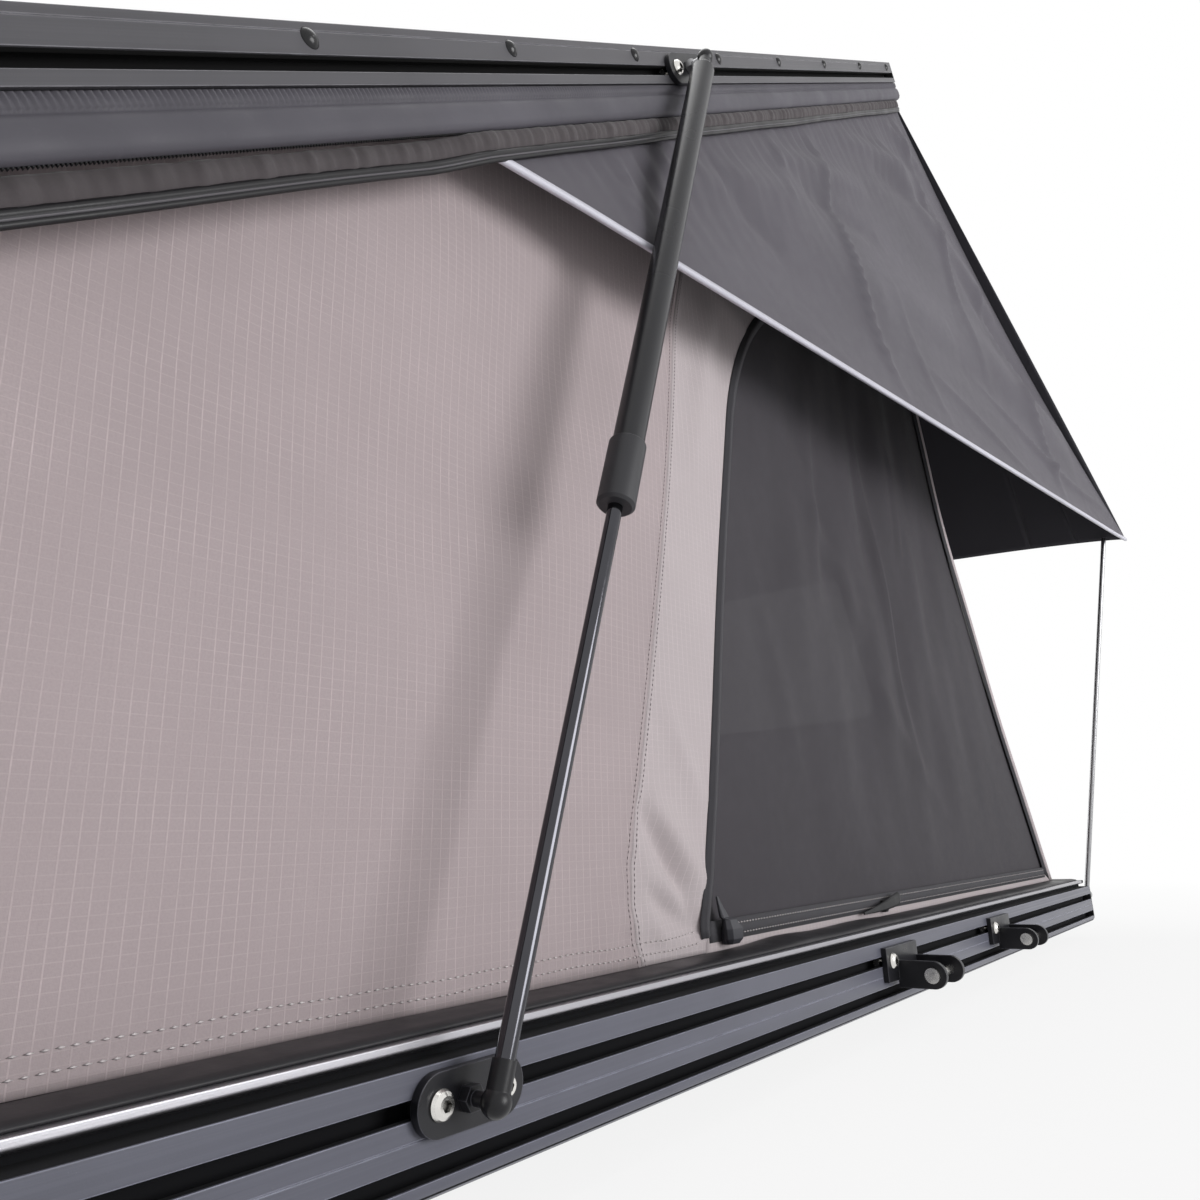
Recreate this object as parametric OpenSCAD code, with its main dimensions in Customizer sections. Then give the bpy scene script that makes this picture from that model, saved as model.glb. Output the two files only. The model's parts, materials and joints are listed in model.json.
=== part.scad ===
// Hard-shell wedge roof top tent, shown open.
// Origin: centre of the base, on the plane that the mounting tracks rest on.
// +X runs from the hinge to the tall end, +Z is up, and the left side is -Y, as seen from the tall end.

/* [Shell] */
// Length of base and lid frames along X
frame_len = 2190; // [1900:10:2400]
// Width over the base rails along Y
frame_w = 1350; // [1200:10:1500]
// Angle of the open lid to the base
open_angle = 37.4; // [34:0.2:40]
// Depth of the side rails, outer face to inner face
rail_d = 34; // [32:1:44]
// Wall of the aluminium profiles
wall = 3; // [2:0.5:4]
// Distance from the hinge axis to the rear faces of the frames
hinge_gap = 8; // [8:0.5:12]

/* [Base rail] */
// Height of the base rail's outer face
base_face_h = 58; // [56:1:70]
// Radius of the rounded lower edge of the base rail
base_edge_r = 9; // [4:1:14]
// Height of the lip over the outer face
lip_h = 10; // [8:1:12]
// Setback of the lip behind the outer face
lip_inset = 9; // [8.5:0.5:12]
// Depth of the upper slot's centre under the top of the outer face
slot_1_z = 16.6; // [15:0.2:18]
// Depth of the lower slot's centre under the top of the outer face
slot_2_z = 43.8; // [40:0.2:46]

/* [Slots] */
// Height of a slot's mouth
slot_mouth = 8.8; // [8.4:0.1:10]
// Depth of a slot's mouth
slot_lip = 5; // [3:0.5:6]
// Height of the room behind a slot's mouth
slot_room = 15; // [14:0.5:16]
// Depth of the room behind a slot's mouth
slot_room_d = 9; // [8:0.5:10]

/* [Lid rail] */
// Height of the lid's top over the closing plane
lid_h = 63; // [60:1:75]
// Height of the lid rail's lower face over the closing plane
lid_rail_z = 30; // [28:1:31]
// Height of the lid slot's centre over the closing plane
lid_slot_z = 41.5; // [40.5:0.5:44]
// Height of the screw row over the closing plane
screw_z = 54.5; // [53:0.5:56]
// Distance between the lid's side screws
screw_pitch = 200; // [150:10:250]
// Distance from the hinge axis to the first screw of the row
screw_start = 180; // [100:5:200]
// Thickness of the lid's skin
skin_t = 3; // [2:0.5:4]
// Thickness of the insulating headliner
liner_t = 8; // [4:1:9]
// Thickness of the soft skirt under the lid rails
skirt_t = 7; // [5:0.5:7.5]

/* [Floor] */
// Thickness of the floor panel
floor_t = 12; // [9:1:16]
// Thickness of the mattress
mattress_t = 46; // [30:1:48]
// Distance from the mattress to the rails' inner faces
mattress_gap = 34; // [26:1:60]
// Distance of the mounting tracks from the middle
track_y = 420; // [300:10:520]
// Width of a mounting track
track_w = 40; // [36:1:50]
// Depth of a mounting track under the base rails
track_drop = 25; // [22:1:35]

/* [Canvas] */
// Setback of the canvas walls behind the rails' outer faces
canvas_inset = 50; // [46:1:52]
// Thickness of the canvas solids
canvas_t = 1.5; // [1:0.1:2]
// Thickness of the strip that clamps the canvas hem on the base
hem_t = 3; // [2:0.5:4]
// Distance of the door's lower rear corner from the hinge axis
door_x = 1006; // [960:2:1060]
// Height of the door's lower edge over the closing plane
door_z = 22; // [18:1:36]
// Lean of the door's rear edge from upright, in degrees
door_lean = 12; // [8:1:20]
// Distance of the door's top edge under the lid's closing plane
door_drop = 208; // [180:2:300]
// Width of the canvas left between the door and the front corner
door_margin = 24; // [20:1:60]
// Radius of the door's upper rear corner
door_r = 300; // [120:10:320]
// How far the front corners of the canvas are drawn in halfway up
front_bow = 105; // [60:5:120]
// Width that the mesh panels lap behind the canvas
mesh_lap = 15; // [8:1:25]

/* [Hood] */
// Distance from the hinge axis to the hood's rear points, along the lid
hood_start = 894; // [860:10:1050]
// Depth of the hood's front edge under the closing plane
hood_drop = 890; // [700:5:930]
// Distance that the hood's lower corners flare out past the rails
hood_flare = 149; // [120:1:170]
// Diameter of the two props that hold the hood out
prop_d = 8; // [6:0.5:10]
// Distance of the prop brackets from the sides of the base
prop_inset = 15; // [13:1:40]
// Reach of the prop pivots in front of the base
prop_reach = 45; // [42:1:60]

/* [Gas struts] */
// Distance from the hinge axis to the lower ball
strut_base_x = 698; // [690:1:720]
// Distance from the hinge axis to the upper ball, along the lid
strut_lid_u = 1276; // [1260:1:1300]
// Distance from the rails' outer faces to the strut's axis
strut_out = 24; // [22:0.5:30]
// Diameter of the rod
rod_d = 10; // [8:0.5:11]
// Diameter of the cylinder
tube_d = 22; // [20:0.5:24]
// Wall of the cylinder
tube_wall = 1.5; // [1:0.1:2]
// Length of rod that shows when the strut is open
rod_show = 325; // [305:5:360]
// Diameter of the balls
ball_d = 10; // [9:0.5:11]
// Thickness of the strut and ladder bracket plates
plate_t = 5; // [4:0.5:6]

/* [Ladder brackets] */
// Distance from the hinge axis to the first bracket's rear ear
ladder_x = 1258; // [1240:1:1300]
// Distance between the two ladder brackets
ladder_pitch = 340; // [300:5:380]
// Clear width between the two ears of a bracket
ladder_gap = 44; // [36:1:50]
// Distance from the plate to the ladder pin
ladder_reach = 32; // [26:1:40]
// Diameter of the ladder pins
ladder_pin_d = 8; // [6:0.5:10]

/* [Latches and hinges] */
// Distance of the front latches from the middle
latch_y = 330; // [200:10:450]
// Width of a latch lever
latch_w = 40; // [30:1:50]
// Length of a latch lever
latch_len = 46; // [40:1:50]
// Distance of the hinges from the middle
hinge_y = 480; // [350:10:560]
// Length of one hinge along its pin
hinge_len = 150; // [100:10:180]
// Diameter of the hinge pins
hinge_pin_d = 6; // [5:0.5:7]

/* [Hidden] */

$fn = 48;
// Overshoot of every cut
cut = 1;
// Gap between soft or curved faces that must stay clear of each other
gap = 0.3;
// Radial clearance of pins and rods that turn or slide
fit = 0.05;

// Places in the hinge frame: x from the hinge axis, z from the closing plane
frame_x0 = hinge_gap;
frame_x1 = hinge_gap + frame_len;
half_w = frame_w / 2;
base_bottom = -base_face_h;
hinge_x = -hinge_gap - frame_len / 2;
hinge_z = base_face_h + track_drop;

// Base rail details
ledge_w = 20;
ledge_z = base_bottom + 6;
floor_z = ledge_z + wall;
floor_top = floor_z + floor_t;
room_back = slot_lip + slot_room_d;
lip_t = 3;
bead_r = 2.7;
scribe = 0.5;
base_scribe_z = (slot_1_z + slot_2_z) / 2;
slot_ridge = 1.2;

// Lid rail details
lid_ledge_z = 40;
lid_ledge_w = 22;
skin_seat = 14;
skirt_inset = 0.5;
skirt_end = skirt_inset + skirt_t + gap;
rib_pitch = 2.4;
rib_count = 4;

// Closed lid and open lid
function lid_x(u, v) = u * cos(open_angle) - v * sin(open_angle);
function lid_z(u, v) = u * sin(open_angle) + v * cos(open_angle);

// Gas strut geometry in the hinge frame
strut_lid_v = lid_slot_z;
strut_dx = lid_x(strut_lid_u, strut_lid_v) - strut_base_x;
strut_dz = lid_z(strut_lid_u, strut_lid_v) + slot_1_z;
strut_len = sqrt(strut_dx * strut_dx + strut_dz * strut_dz);
strut_angle = atan2(strut_dz, strut_dx);
strut_y = -half_w - strut_out;
socket_r = ball_d / 2 + 2.4;
socket_neck = 18;
rod_grip = 9;
rod_r = rod_d / 2;
barrel_r = rod_r + 1;
tube_r = tube_d / 2;
tube_start = socket_neck + rod_show;
tube_end = strut_len - 16;
tube_taper = 8;
cap_len = 52;
cap_wall = 2;
cap_lip = 6;
piston_len = 16;
piston_z = tube_start + cap_lip + 12;

// Canvas outline in the hinge frame
canvas_z = lip_h + hem_t;
hem_start = lip_inset + 2;
hem_end = canvas_inset + 2;
canvas_x0 = frame_x0 + canvas_inset;
canvas_x1 = frame_x1 - canvas_inset;
canvas_v = lid_ledge_z - gap;
canvas_y = half_w - canvas_inset;
front_top_x = lid_x(canvas_x1, canvas_v);
front_top_z = lid_z(canvas_x1, canvas_v);
front_lean = atan2(canvas_x1 - front_top_x, front_top_z - canvas_z);
rear_top_x = lid_x(canvas_x0, canvas_v);
rear_top_z = lid_z(canvas_x0, canvas_v);

// The front corner of the canvas as a bowed line in the hinge frame, from foot to top
function front_line(z) =
    canvas_x1 - (z - canvas_z) * tan(front_lean)
    - front_bow * sin(180 * (z - canvas_z) / (front_top_z - canvas_z));
bow_steps = 20;
function bow_z(z0, z1) = [for (i = [0:bow_steps]) z0 + (z1 - z0) * i / bow_steps];

// Door outline: rear edge, top edge and front edge as lines in the hinge frame
function door_top(x) = (x * sin(open_angle) - door_drop) / cos(open_angle);
function rear_edge(z) = door_x + (z - door_z) * tan(door_lean);
function front_edge(z) = front_line(z) - door_margin / cos(front_lean);
function meet_top(z, tries) = tries == 0 ? z : meet_top(door_top(front_edge(z)), tries - 1);
rise = tan(open_angle);
door_rear_top = (door_top(door_x) - door_z * rise * tan(door_lean)) / (1 - rise * tan(door_lean));
door_front_top = meet_top(800, 30);
// Middle of the arc that joins the rear edge and the top edge
door_arc_reach = door_r / (1 + cos(90 - door_lean - open_angle));
door_arc_x = rear_edge(door_rear_top) + door_arc_reach * (cos(door_lean) + sin(open_angle));
door_arc_z = door_rear_top - door_arc_reach * (sin(door_lean) + cos(open_angle));
door_arc_steps = 12;

// Front window: heights of its edges, and half its width
window_low = 300;
window_high = 940;
window_half = 430;

// Hood in the lid frame
hood_u = frame_x1 - 11;
hood_y = half_w - 14;
hood_low_y = half_w + hood_flare;
hood_t = 1.5;
hood_top_v = lid_rail_z - gap;
// The side panels' lower edges leave the lid's closing plane at hood_start
hood_root = hood_start - hood_top_v * (hood_u - hood_start) / hood_drop;

// Hood props
prop_x = frame_x1 + prop_reach;
prop_y = half_w - prop_inset;
prop_r = prop_d / 2;
prop_top_u = hood_u - 9;
prop_top_v = -hood_drop + 14;
prop_top_y = half_w + hood_flare - 34;
prop_dx = lid_x(prop_top_u, prop_top_v) - prop_x;
prop_dz = lid_z(prop_top_u, prop_top_v) + slot_1_z;
prop_dy = prop_top_y - prop_y;
prop_len = sqrt(prop_dx * prop_dx + prop_dy * prop_dy + prop_dz * prop_dz);
prop_swing = atan2(prop_dy, prop_dz);
prop_tilt = atan2(prop_dx, sqrt(prop_dy * prop_dy + prop_dz * prop_dz));
prop_pin_r = 4;
prop_eye_r = 8;
prop_eye_w = 14;

// Lid screws
screw_r = 2.5;
screw_len = 7.5;
screw_head_r = 6;
screw_end = 33;

// Bolts
bolt_r = 4;
bolt_head_r = 7;
bolt_head_h = 4.4;
bolt_len = slot_lip + 7;
nut_t = 6;
nut_w = 13;
socket_af = 5;
lower_bolt_dx = [-16.5, 25];
upper_bolt_dx = [-26, 31];
strut_plate_h = 28;
stud_collar = 6;
stud_neck_r = 3.5;

// Ladder brackets
ear_t = 5;
ear_r = 12;
ladder_pin_y = -half_w - plate_t - ladder_reach;
ladder_z = -slot_1_z - 13;
ladder_tab = 26;
ladder_plate_h = 30;

// Latches
latch_x = frame_x1 + 12;
latch_z = -22;
latch_pin_r = 3;
latch_ear_t = 3;
latch_plate_t = 2;
lever_t = 4;
lever_r = latch_pin_r + 3;
hook_len = 14;
keeper_t = 3;
keeper_h = 36;

// Hinges
knuckles = 5;
knuckle_r = hinge_pin_d / 2 + 3.5;
knuckle_gap = 0.4;
leaf_t = 3;
leaf_h = 44;

// Zip sliders
slider_l = 26;
slider_h = 20;
slider_t = 7;
slider_x = [door_x + 28, door_x + 365];
slider_z = canvas_z + 4;

// Mounting tracks
track_top = floor_z;
track_bottom = base_bottom - track_drop;
track_x0 = frame_x0 + rail_d + ledge_w + 8;
track_x1 = frame_x1 - rail_d - ledge_w - 8;
track_mouth = 9;
track_room = 22;
track_room_h = 13;
track_lip = 4;
track_bolt_r = 3;
track_bolt_n = 5;

// Carriers that place a piece in its frame

module in_base() {
    translate([hinge_x, 0, hinge_z]) children();
}

module in_lid() {
    in_base() rotate([0, -open_angle, 0]) children();
}

// Children are made for the left side; the right side is their mirror image
module on_side(side) {
    mirror([0, side == "right" ? 1 : 0, 0]) children();
}

module both_sides() {
    for (side = ["left", "right"]) on_side(side) children();
}

// A profile drawn in (setback, height) runs along the left side
module along_side(x0, x1) {
    translate([x0, -half_w, 0]) rotate([90, 0, 90]) linear_extrude(x1 - x0) children();
}

// A profile drawn in (setback, height) runs along the front end
module along_front(y0, y1) {
    translate([frame_x1, y1, 0]) rotate([90, 0, 0]) linear_extrude(y1 - y0) mirror([1, 0]) children();
}

// A profile drawn in (setback, height) runs along the rear end
module along_rear(y0, y1) {
    translate([frame_x0, y1, 0]) rotate([90, 0, 0]) linear_extrude(y1 - y0) children();
}

// A shape drawn in (x, z) becomes a sheet that starts at y0
module upright_sheet(y0, t) {
    translate([0, y0 + t, 0]) rotate([90, 0, 0]) linear_extrude(t) children();
}

// Strut frame: origin at the lower ball, +Z along the strut
module in_strut() {
    in_base() translate([strut_base_x, strut_y, -slot_1_z]) rotate([0, 90 - strut_angle, 0]) children();
}

// A cylinder that runs outboard on the left side, from setback w0 (negative is outboard) to w1
module cross_pin(x, z, w0, w1, r) {
    translate([x, -half_w + w0, z]) rotate([-90, 0, 0]) cylinder(h = w1 - w0, r = r);
}

// Profiles

module slot_cut(z) {
    translate([-cut, z - slot_mouth / 2]) square([slot_lip + 2 * cut, slot_mouth]);
    translate([slot_lip, z - slot_room / 2]) square([slot_room_d, slot_room]);
}

module slot_rib(z) {
    translate([room_back - slot_ridge, z - slot_ridge / 2]) square([2 * slot_ridge, slot_ridge]);
}

module base_outline() {
    translate([0, base_bottom + base_edge_r]) square([rail_d, base_face_h - base_edge_r]);
    translate([base_edge_r, base_bottom]) square([rail_d - base_edge_r, base_face_h]);
    translate([base_edge_r, base_bottom + base_edge_r]) circle(base_edge_r);
    translate([lip_inset, lip_h - lip_t]) square([rail_d - lip_inset, lip_t]);
    translate([lip_inset + bead_r, lip_h - bead_r]) circle(bead_r);
    translate([lip_inset + 8, -cut]) square([2 * wall, lip_h]);
}

module base_profile() {
    difference() {
        base_outline();
        slot_cut(-slot_1_z);
        slot_cut(-slot_2_z);
        translate([-cut, -base_scribe_z]) square([cut + scribe, scribe]);
        translate([room_back + wall, base_bottom + wall])
            square([rail_d - room_back - 2 * wall, base_face_h - 2 * wall]);
    }
    slot_rib(-slot_1_z);
    slot_rib(-slot_2_z);
}

module base_ledge() {
    translate([rail_d - cut, ledge_z]) square([ledge_w + cut, wall]);
}

module lid_outline() {
    translate([0, lid_rail_z]) square([rail_d, lid_h - lid_rail_z]);
}

module lid_profile() {
    difference() {
        lid_outline();
        slot_cut(lid_slot_z);
        translate([-cut, lid_h - 5]) square([cut + scribe, scribe]);
        translate([skin_seat, lid_h - skin_t]) square([rail_d, skin_t + cut]);
        translate([room_back + wall, lid_rail_z + wall])
            square([rail_d - room_back - 2 * wall, lid_h - skin_t - lid_rail_z - 2 * wall]);
    }
    slot_rib(lid_slot_z);
}

module lid_ledge() {
    translate([rail_d - cut, lid_ledge_z]) square([lid_ledge_w + cut, wall]);
}

module skirt_profile() {
    difference() {
        union() {
            translate([skirt_inset, gap + skirt_t / 2]) square([skirt_t, lid_rail_z - gap - skirt_t / 2]);
            translate([skirt_inset + skirt_t / 2, gap + skirt_t / 2]) circle(skirt_t / 2);
        }
        for (i = [0:rib_count - 1])
            translate([skirt_inset - cut, lid_rail_z - 3 - i * rib_pitch]) square([cut + 0.6, rib_pitch / 2]);
    }
}

// Base

module base_floor_panel() {
    color([0.62, 0.63, 0.65]) in_base() difference() {
        translate([frame_x0 + rail_d + gap, -half_w + rail_d + gap, floor_z])
            cube([frame_len - 2 * rail_d - 2 * gap, frame_w - 2 * rail_d - 2 * gap, floor_t]);
        track_bolt_places() {
            translate([0, 0, floor_z - cut]) cylinder(h = floor_t + 2 * cut, r = track_bolt_r + fit);
            translate([0, 0, floor_top - 3]) cylinder(h = 3 + cut, r = 2 * track_bolt_r + fit);
        }
    }
}

module base_rail_side(side) {
    color([0.13, 0.13, 0.15]) in_base() on_side(side) {
        difference() {
            along_side(frame_x0, frame_x1) base_profile();
            for (x = [frame_x0 - cut, frame_x1 - lip_inset])
                translate([x, -half_w - cut, 0]) cube([lip_inset + cut, rail_d + 2 * cut, 2 * lip_h]);
        }
        along_side(frame_x0 + rail_d + gap, frame_x1 - rail_d - gap) base_ledge();
    }
}

module base_rail_front() {
    color([0.13, 0.13, 0.15]) in_base() {
        along_front(-half_w + rail_d, half_w - rail_d) base_profile();
        along_front(-half_w + rail_d + ledge_w + gap, half_w - rail_d - ledge_w - gap) base_ledge();
    }
}

module base_rail_rear() {
    color([0.13, 0.13, 0.15]) in_base() {
        along_rear(-half_w + rail_d, half_w - rail_d) base_profile();
        along_rear(-half_w + rail_d + ledge_w + gap, half_w - rail_d - ledge_w - gap) base_ledge();
    }
}

module base_end_caps() {
    color([0.05, 0.05, 0.055]) in_base() both_sides() {
        along_side(frame_x0 - wall, frame_x0) base_outline();
        along_side(frame_x1, frame_x1 + wall) base_outline();
    }
}

module track_profile() {
    room_top = track_bottom + track_lip + track_room_h;
    difference() {
        translate([-track_w / 2, track_bottom]) square([track_w, track_top - track_bottom]);
        translate([-track_mouth / 2, track_bottom - cut]) square([track_mouth, track_lip + 2 * cut]);
        translate([-track_room / 2, track_bottom + track_lip]) square([track_room, track_room_h]);
        translate([-track_w / 2 + wall, room_top + wall])
            square([track_w - 2 * wall, track_top - room_top - 2 * wall]);
    }
}

module mounting_track(side) {
    color([0.55, 0.56, 0.58]) in_base() difference() {
        on_side(side) translate([track_x0, -track_y, 0]) rotate([90, 0, 90])
            linear_extrude(track_x1 - track_x0) track_profile();
        track_bolt_places() translate([0, 0, track_top - wall - cut])
            cylinder(h = wall + 2 * cut, r = track_bolt_r + fit);
    }
}

module track_bolt_places() {
    step = (track_x1 - track_x0 - 200) / (track_bolt_n - 1);
    for (y = [-track_y, track_y], i = [0:track_bolt_n - 1])
        translate([track_x0 + 100 + i * step, y, 0]) children();
}

module track_bolts() {
    color([0.7, 0.7, 0.72]) in_base() track_bolt_places() {
        translate([0, 0, floor_z - wall]) cylinder(h = floor_t + wall - 3, r = track_bolt_r);
        translate([0, 0, floor_top - 3]) cylinder(h = 2.5, r = 2 * track_bolt_r);
    }
}

module mattress() {
    inset = rail_d + mattress_gap;
    color([0.45, 0.45, 0.47]) in_base() translate([frame_x0 + inset, -half_w + inset, floor_top])
        cube([frame_len - 2 * inset, frame_w - 2 * inset, mattress_t]);
}

module hem_profile() {
    translate([hem_start, lip_h]) square([hem_end - hem_start, hem_t]);
}

module hem_strips() {
    color([0.06, 0.06, 0.065]) in_base() {
        both_sides() along_side(frame_x0 + hem_start, frame_x1 - hem_start) hem_profile();
        along_front(-half_w + hem_end + gap, half_w - hem_end - gap) hem_profile();
        along_rear(-half_w + hem_end + gap, half_w - hem_end - gap) hem_profile();
    }
}

// Canvas

// Four-sided door outline with a wide curve at its upper rear corner, grown by extra
module door_outline(extra) {
    from = 180 - door_lean;
    turn = from - 90 - open_angle;
    arc = [
        for (i = [0:door_arc_steps])
            let (a = from - turn * i / door_arc_steps)
                [door_arc_x + door_r * cos(a), door_arc_z + door_r * sin(a)]
    ];
    front = [for (z = bow_z(door_front_top, door_z)) [front_edge(z), z]];
    offset(delta = extra) polygon(concat([[door_x, door_z]], arc, front));
}

module canvas_side(side) {
    front = [for (z = bow_z(canvas_z, front_top_z)) [front_line(z) - gap, z]];
    color([0.62, 0.59, 0.58]) in_base() on_side(side) upright_sheet(-canvas_y, canvas_t) difference() {
        polygon(concat([[canvas_x0 + gap, canvas_z]], front, [[rear_top_x + gap, rear_top_z]]));
        door_outline(0);
    }
}

module door_mesh(side) {
    color([0.16, 0.16, 0.17]) in_base() on_side(side)
        upright_sheet(-canvas_y + canvas_t + gap, canvas_t) intersection() {
            door_outline(mesh_lap);
            translate([0, canvas_z]) square([frame_x1, 2 * frame_len]);
        }
}

// A bowed sheet that follows the front corners, set back by inset, between two heights and out to half
module bowed_sheet(inset, z0, z1, half) {
    outer = [for (z = bow_z(z0, z1)) [front_line(z) - inset, z]];
    inner = [for (z = bow_z(z1, z0)) [front_line(z) - inset - canvas_t, z]];
    in_base() translate([0, half, 0]) rotate([90, 0, 0]) linear_extrude(2 * half) polygon(concat(outer, inner));
}

module canvas_front() {
    color([0.62, 0.59, 0.58]) difference() {
        bowed_sheet(0, canvas_z + gap, front_top_z - 2, canvas_y - canvas_t - gap);
        in_base() translate([0, -window_half, window_low])
            cube([frame_x1, 2 * window_half, window_high - window_low]);
    }
}

module window_mesh_front() {
    color([0.16, 0.16, 0.17])
        bowed_sheet(canvas_t + gap, window_low - mesh_lap, window_high + mesh_lap, window_half + mesh_lap);
}

module canvas_rear() {
    half = canvas_y - canvas_t - gap;
    color([0.62, 0.59, 0.58]) in_base() translate([0, half, 0]) rotate([90, 0, 0]) linear_extrude(2 * half)
        polygon([
            [canvas_x0, canvas_z],
            [canvas_x0 + canvas_t, canvas_z],
            [rear_top_x + canvas_t, rear_top_z],
            [rear_top_x, rear_top_z],
        ]);
}

// Corners of one face of the hood, moved out of its middle surface by off, from rear left to rear right
function hood_face(off) = [
    [hood_root, -hood_y - off, hood_top_v],
    [hood_u + off, -hood_y - off, hood_top_v],
    [hood_u + off, -hood_low_y - off, -hood_drop],
    [hood_u + off, hood_low_y + off, -hood_drop],
    [hood_u + off, hood_y + off, hood_top_v],
    [hood_root, hood_y + off, hood_top_v],
];

// Two sewn side panels and a front panel, closed along their free edges
module hood() {
    n = 6;
    panels = [[0, 1, 2], [1, 4, 3, 2], [4, 5, 3]];
    rim = [0, 1, 4, 5, 3, 2];
    outside = panels;
    inside = [for (p = panels) [for (i = [len(p) - 1:-1:0]) p[i] + n]];
    edges = [
        for (i = [0:n - 1])
            let (a = rim[i], b = rim[(i + 1) % n])
                each [[b, a, a + n], [b, a + n, b + n]]
    ];
    color([0.28, 0.28, 0.30]) in_lid()
        polyhedron(concat(hood_face(hood_t / 2), hood_face(-hood_t / 2)), concat(outside, inside, edges));
}

// Gas struts

module plate_outline(x0, x1, h) {
    r = h / 2;
    translate([x0, -r]) square([x1 - x0, h]);
    translate([x0, 0]) circle(r);
    translate([x1, 0]) circle(r);
}

// A flat plate on the outer face of the left rail
module side_plate(x, z, x0, x1, h) {
    translate([x, -half_w, z]) rotate([90, 0, 0]) linear_extrude(plate_t) plate_outline(x0, x1, h);
}

module strut_lower_plates() {
    color([0.05, 0.05, 0.055]) in_base() both_sides() difference() {
        side_plate(strut_base_x, -slot_1_z, lower_bolt_dx[0], lower_bolt_dx[1], strut_plate_h);
        for (dx = lower_bolt_dx) cross_pin(strut_base_x + dx, -slot_1_z, -plate_t - cut, cut, bolt_r + fit);
        cross_pin(strut_base_x, -slot_1_z, -plate_t - cut, cut, stud_neck_r + fit);
    }
}

module ball_stud(x, z, w_root, collar_w) {
    cross_pin(x, z, -strut_out, w_root, stud_neck_r);
    translate([x, -half_w - collar_w, z]) rotate([90, 0, 0]) cylinder(h = stud_collar, r = 6.5, $fn = 6);
    translate([x, strut_y, z]) sphere(ball_d / 2);
}

module strut_lower_studs() {
    color([0.08, 0.08, 0.085]) in_base() both_sides()
        ball_stud(strut_base_x, -slot_1_z, -gap, plate_t);
}

// Round housing of a ball
module ball_housing() {
    sphere(socket_r);
}

// Room for the ball and, towards the rail, for its neck
module ball_room() {
    sphere(ball_d / 2 + fit);
    rotate([-90, 0, 0]) cylinder(h = 2 * socket_r, r = stud_neck_r + 0.8);
}

module strut_socket(side) {
    color([0.05, 0.05, 0.055]) on_side(side) in_strut() difference() {
        union() {
            ball_housing();
            cylinder(h = socket_neck, r = barrel_r);
        }
        ball_room();
        translate([0, 0, socket_neck - rod_grip]) cylinder(h = rod_grip + cut, r = rod_r + fit);
    }
}

module strut_rod(side) {
    color([0.12, 0.12, 0.13]) on_side(side) in_strut() {
        translate([0, 0, socket_neck - rod_grip + fit])
            cylinder(h = piston_z - socket_neck + rod_grip, r = rod_r);
        translate([0, 0, piston_z]) cylinder(h = piston_len, r = tube_r - tube_wall - fit);
    }
}

// Half outline of the cylinder's tube with its closed end and neck, drawn in (radius, height)
module tube_outline() {
    bore_r = tube_r - tube_wall;
    bore_end = tube_end - tube_taper - 6;
    neck_r = rod_r + 0.5;
    polygon([
        [bore_r, tube_start + cap_lip],
        [tube_r, tube_start + cap_lip],
        [tube_r, tube_end - tube_taper],
        [neck_r + 2, tube_end],
        [neck_r, tube_end],
        [neck_r, strut_len],
        [0, strut_len],
        [0, bore_end],
        [bore_r, bore_end],
    ]);
}

module strut_cylinder(side) {
    color([0.10, 0.10, 0.105]) on_side(side) in_strut() difference() {
        union() {
            rotate_extrude() tube_outline();
            translate([0, 0, strut_len]) ball_housing();
        }
        translate([0, 0, strut_len]) ball_room();
    }
}

module strut_cap(side) {
    color([0.07, 0.07, 0.075]) on_side(side) in_strut() translate([0, 0, tube_start]) difference() {
        union() {
            translate([0, 0, cap_wall]) cylinder(h = cap_len - cap_wall, r = tube_r + cap_wall);
            cylinder(h = cap_wall, r1 = tube_r, r2 = tube_r + cap_wall);
        }
        translate([0, 0, cap_lip]) cylinder(h = cap_len, r = tube_r + fit);
        translate([0, 0, -cut]) cylinder(h = cap_len, r = rod_r + fit);
    }
}

module strut_upper_plates() {
    color([0.05, 0.05, 0.055]) in_lid() both_sides() difference() {
        side_plate(strut_lid_u, strut_lid_v, upper_bolt_dx[0], upper_bolt_dx[1], strut_plate_h);
        for (dx = upper_bolt_dx) cross_pin(strut_lid_u + dx, strut_lid_v, -plate_t - cut, cut, bolt_r + fit);
    }
}

module strut_upper_stud(side) {
    color([0.08, 0.08, 0.085]) on_side(side) in_lid()
        ball_stud(strut_lid_u, strut_lid_v, -plate_t - 1, plate_t + gap);
}

// Bolts

// A button-head bolt in a slot of the left side, with its square nut behind the slot's mouth
module slot_bolt(x, z) {
    difference() {
        union() {
            cross_pin(x, z, -plate_t, bolt_len, bolt_r);
            cross_pin(x, z, -plate_t - 1, -plate_t, bolt_head_r);
            translate([x, -half_w - plate_t - 1, z]) rotate([90, 0, 0]) {
                cylinder(h = 1.8, r1 = bolt_head_r, r2 = bolt_head_r - 0.9);
                translate([0, 0, 1.8])
                    cylinder(h = bolt_head_h - 2.8, r1 = bolt_head_r - 0.9, r2 = bolt_head_r - 2.7);
            }
        }
        translate([x, -half_w - plate_t - bolt_head_h - cut, z]) rotate([-90, 0, 0])
            cylinder(h = 2.6 + cut, r = socket_af / sqrt(3), $fn = 6);
    }
    difference() {
        translate([x - nut_w / 2, -half_w + slot_lip + gap, z - nut_w / 2]) cube([nut_w, nut_t, nut_w]);
        cross_pin(x, z, slot_lip - cut, slot_lip + nut_t + 2 * cut, bolt_r + fit);
    }
}

module slot_bolts() {
    color([0.78, 0.78, 0.80]) in_base() {
        both_sides() for (dx = lower_bolt_dx) slot_bolt(strut_base_x + dx, -slot_1_z);
        for (i = [0, 1]) slot_bolt(ladder_x - ladder_tab / 2 + i * ladder_pitch, -slot_1_z);
    }
}

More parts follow.
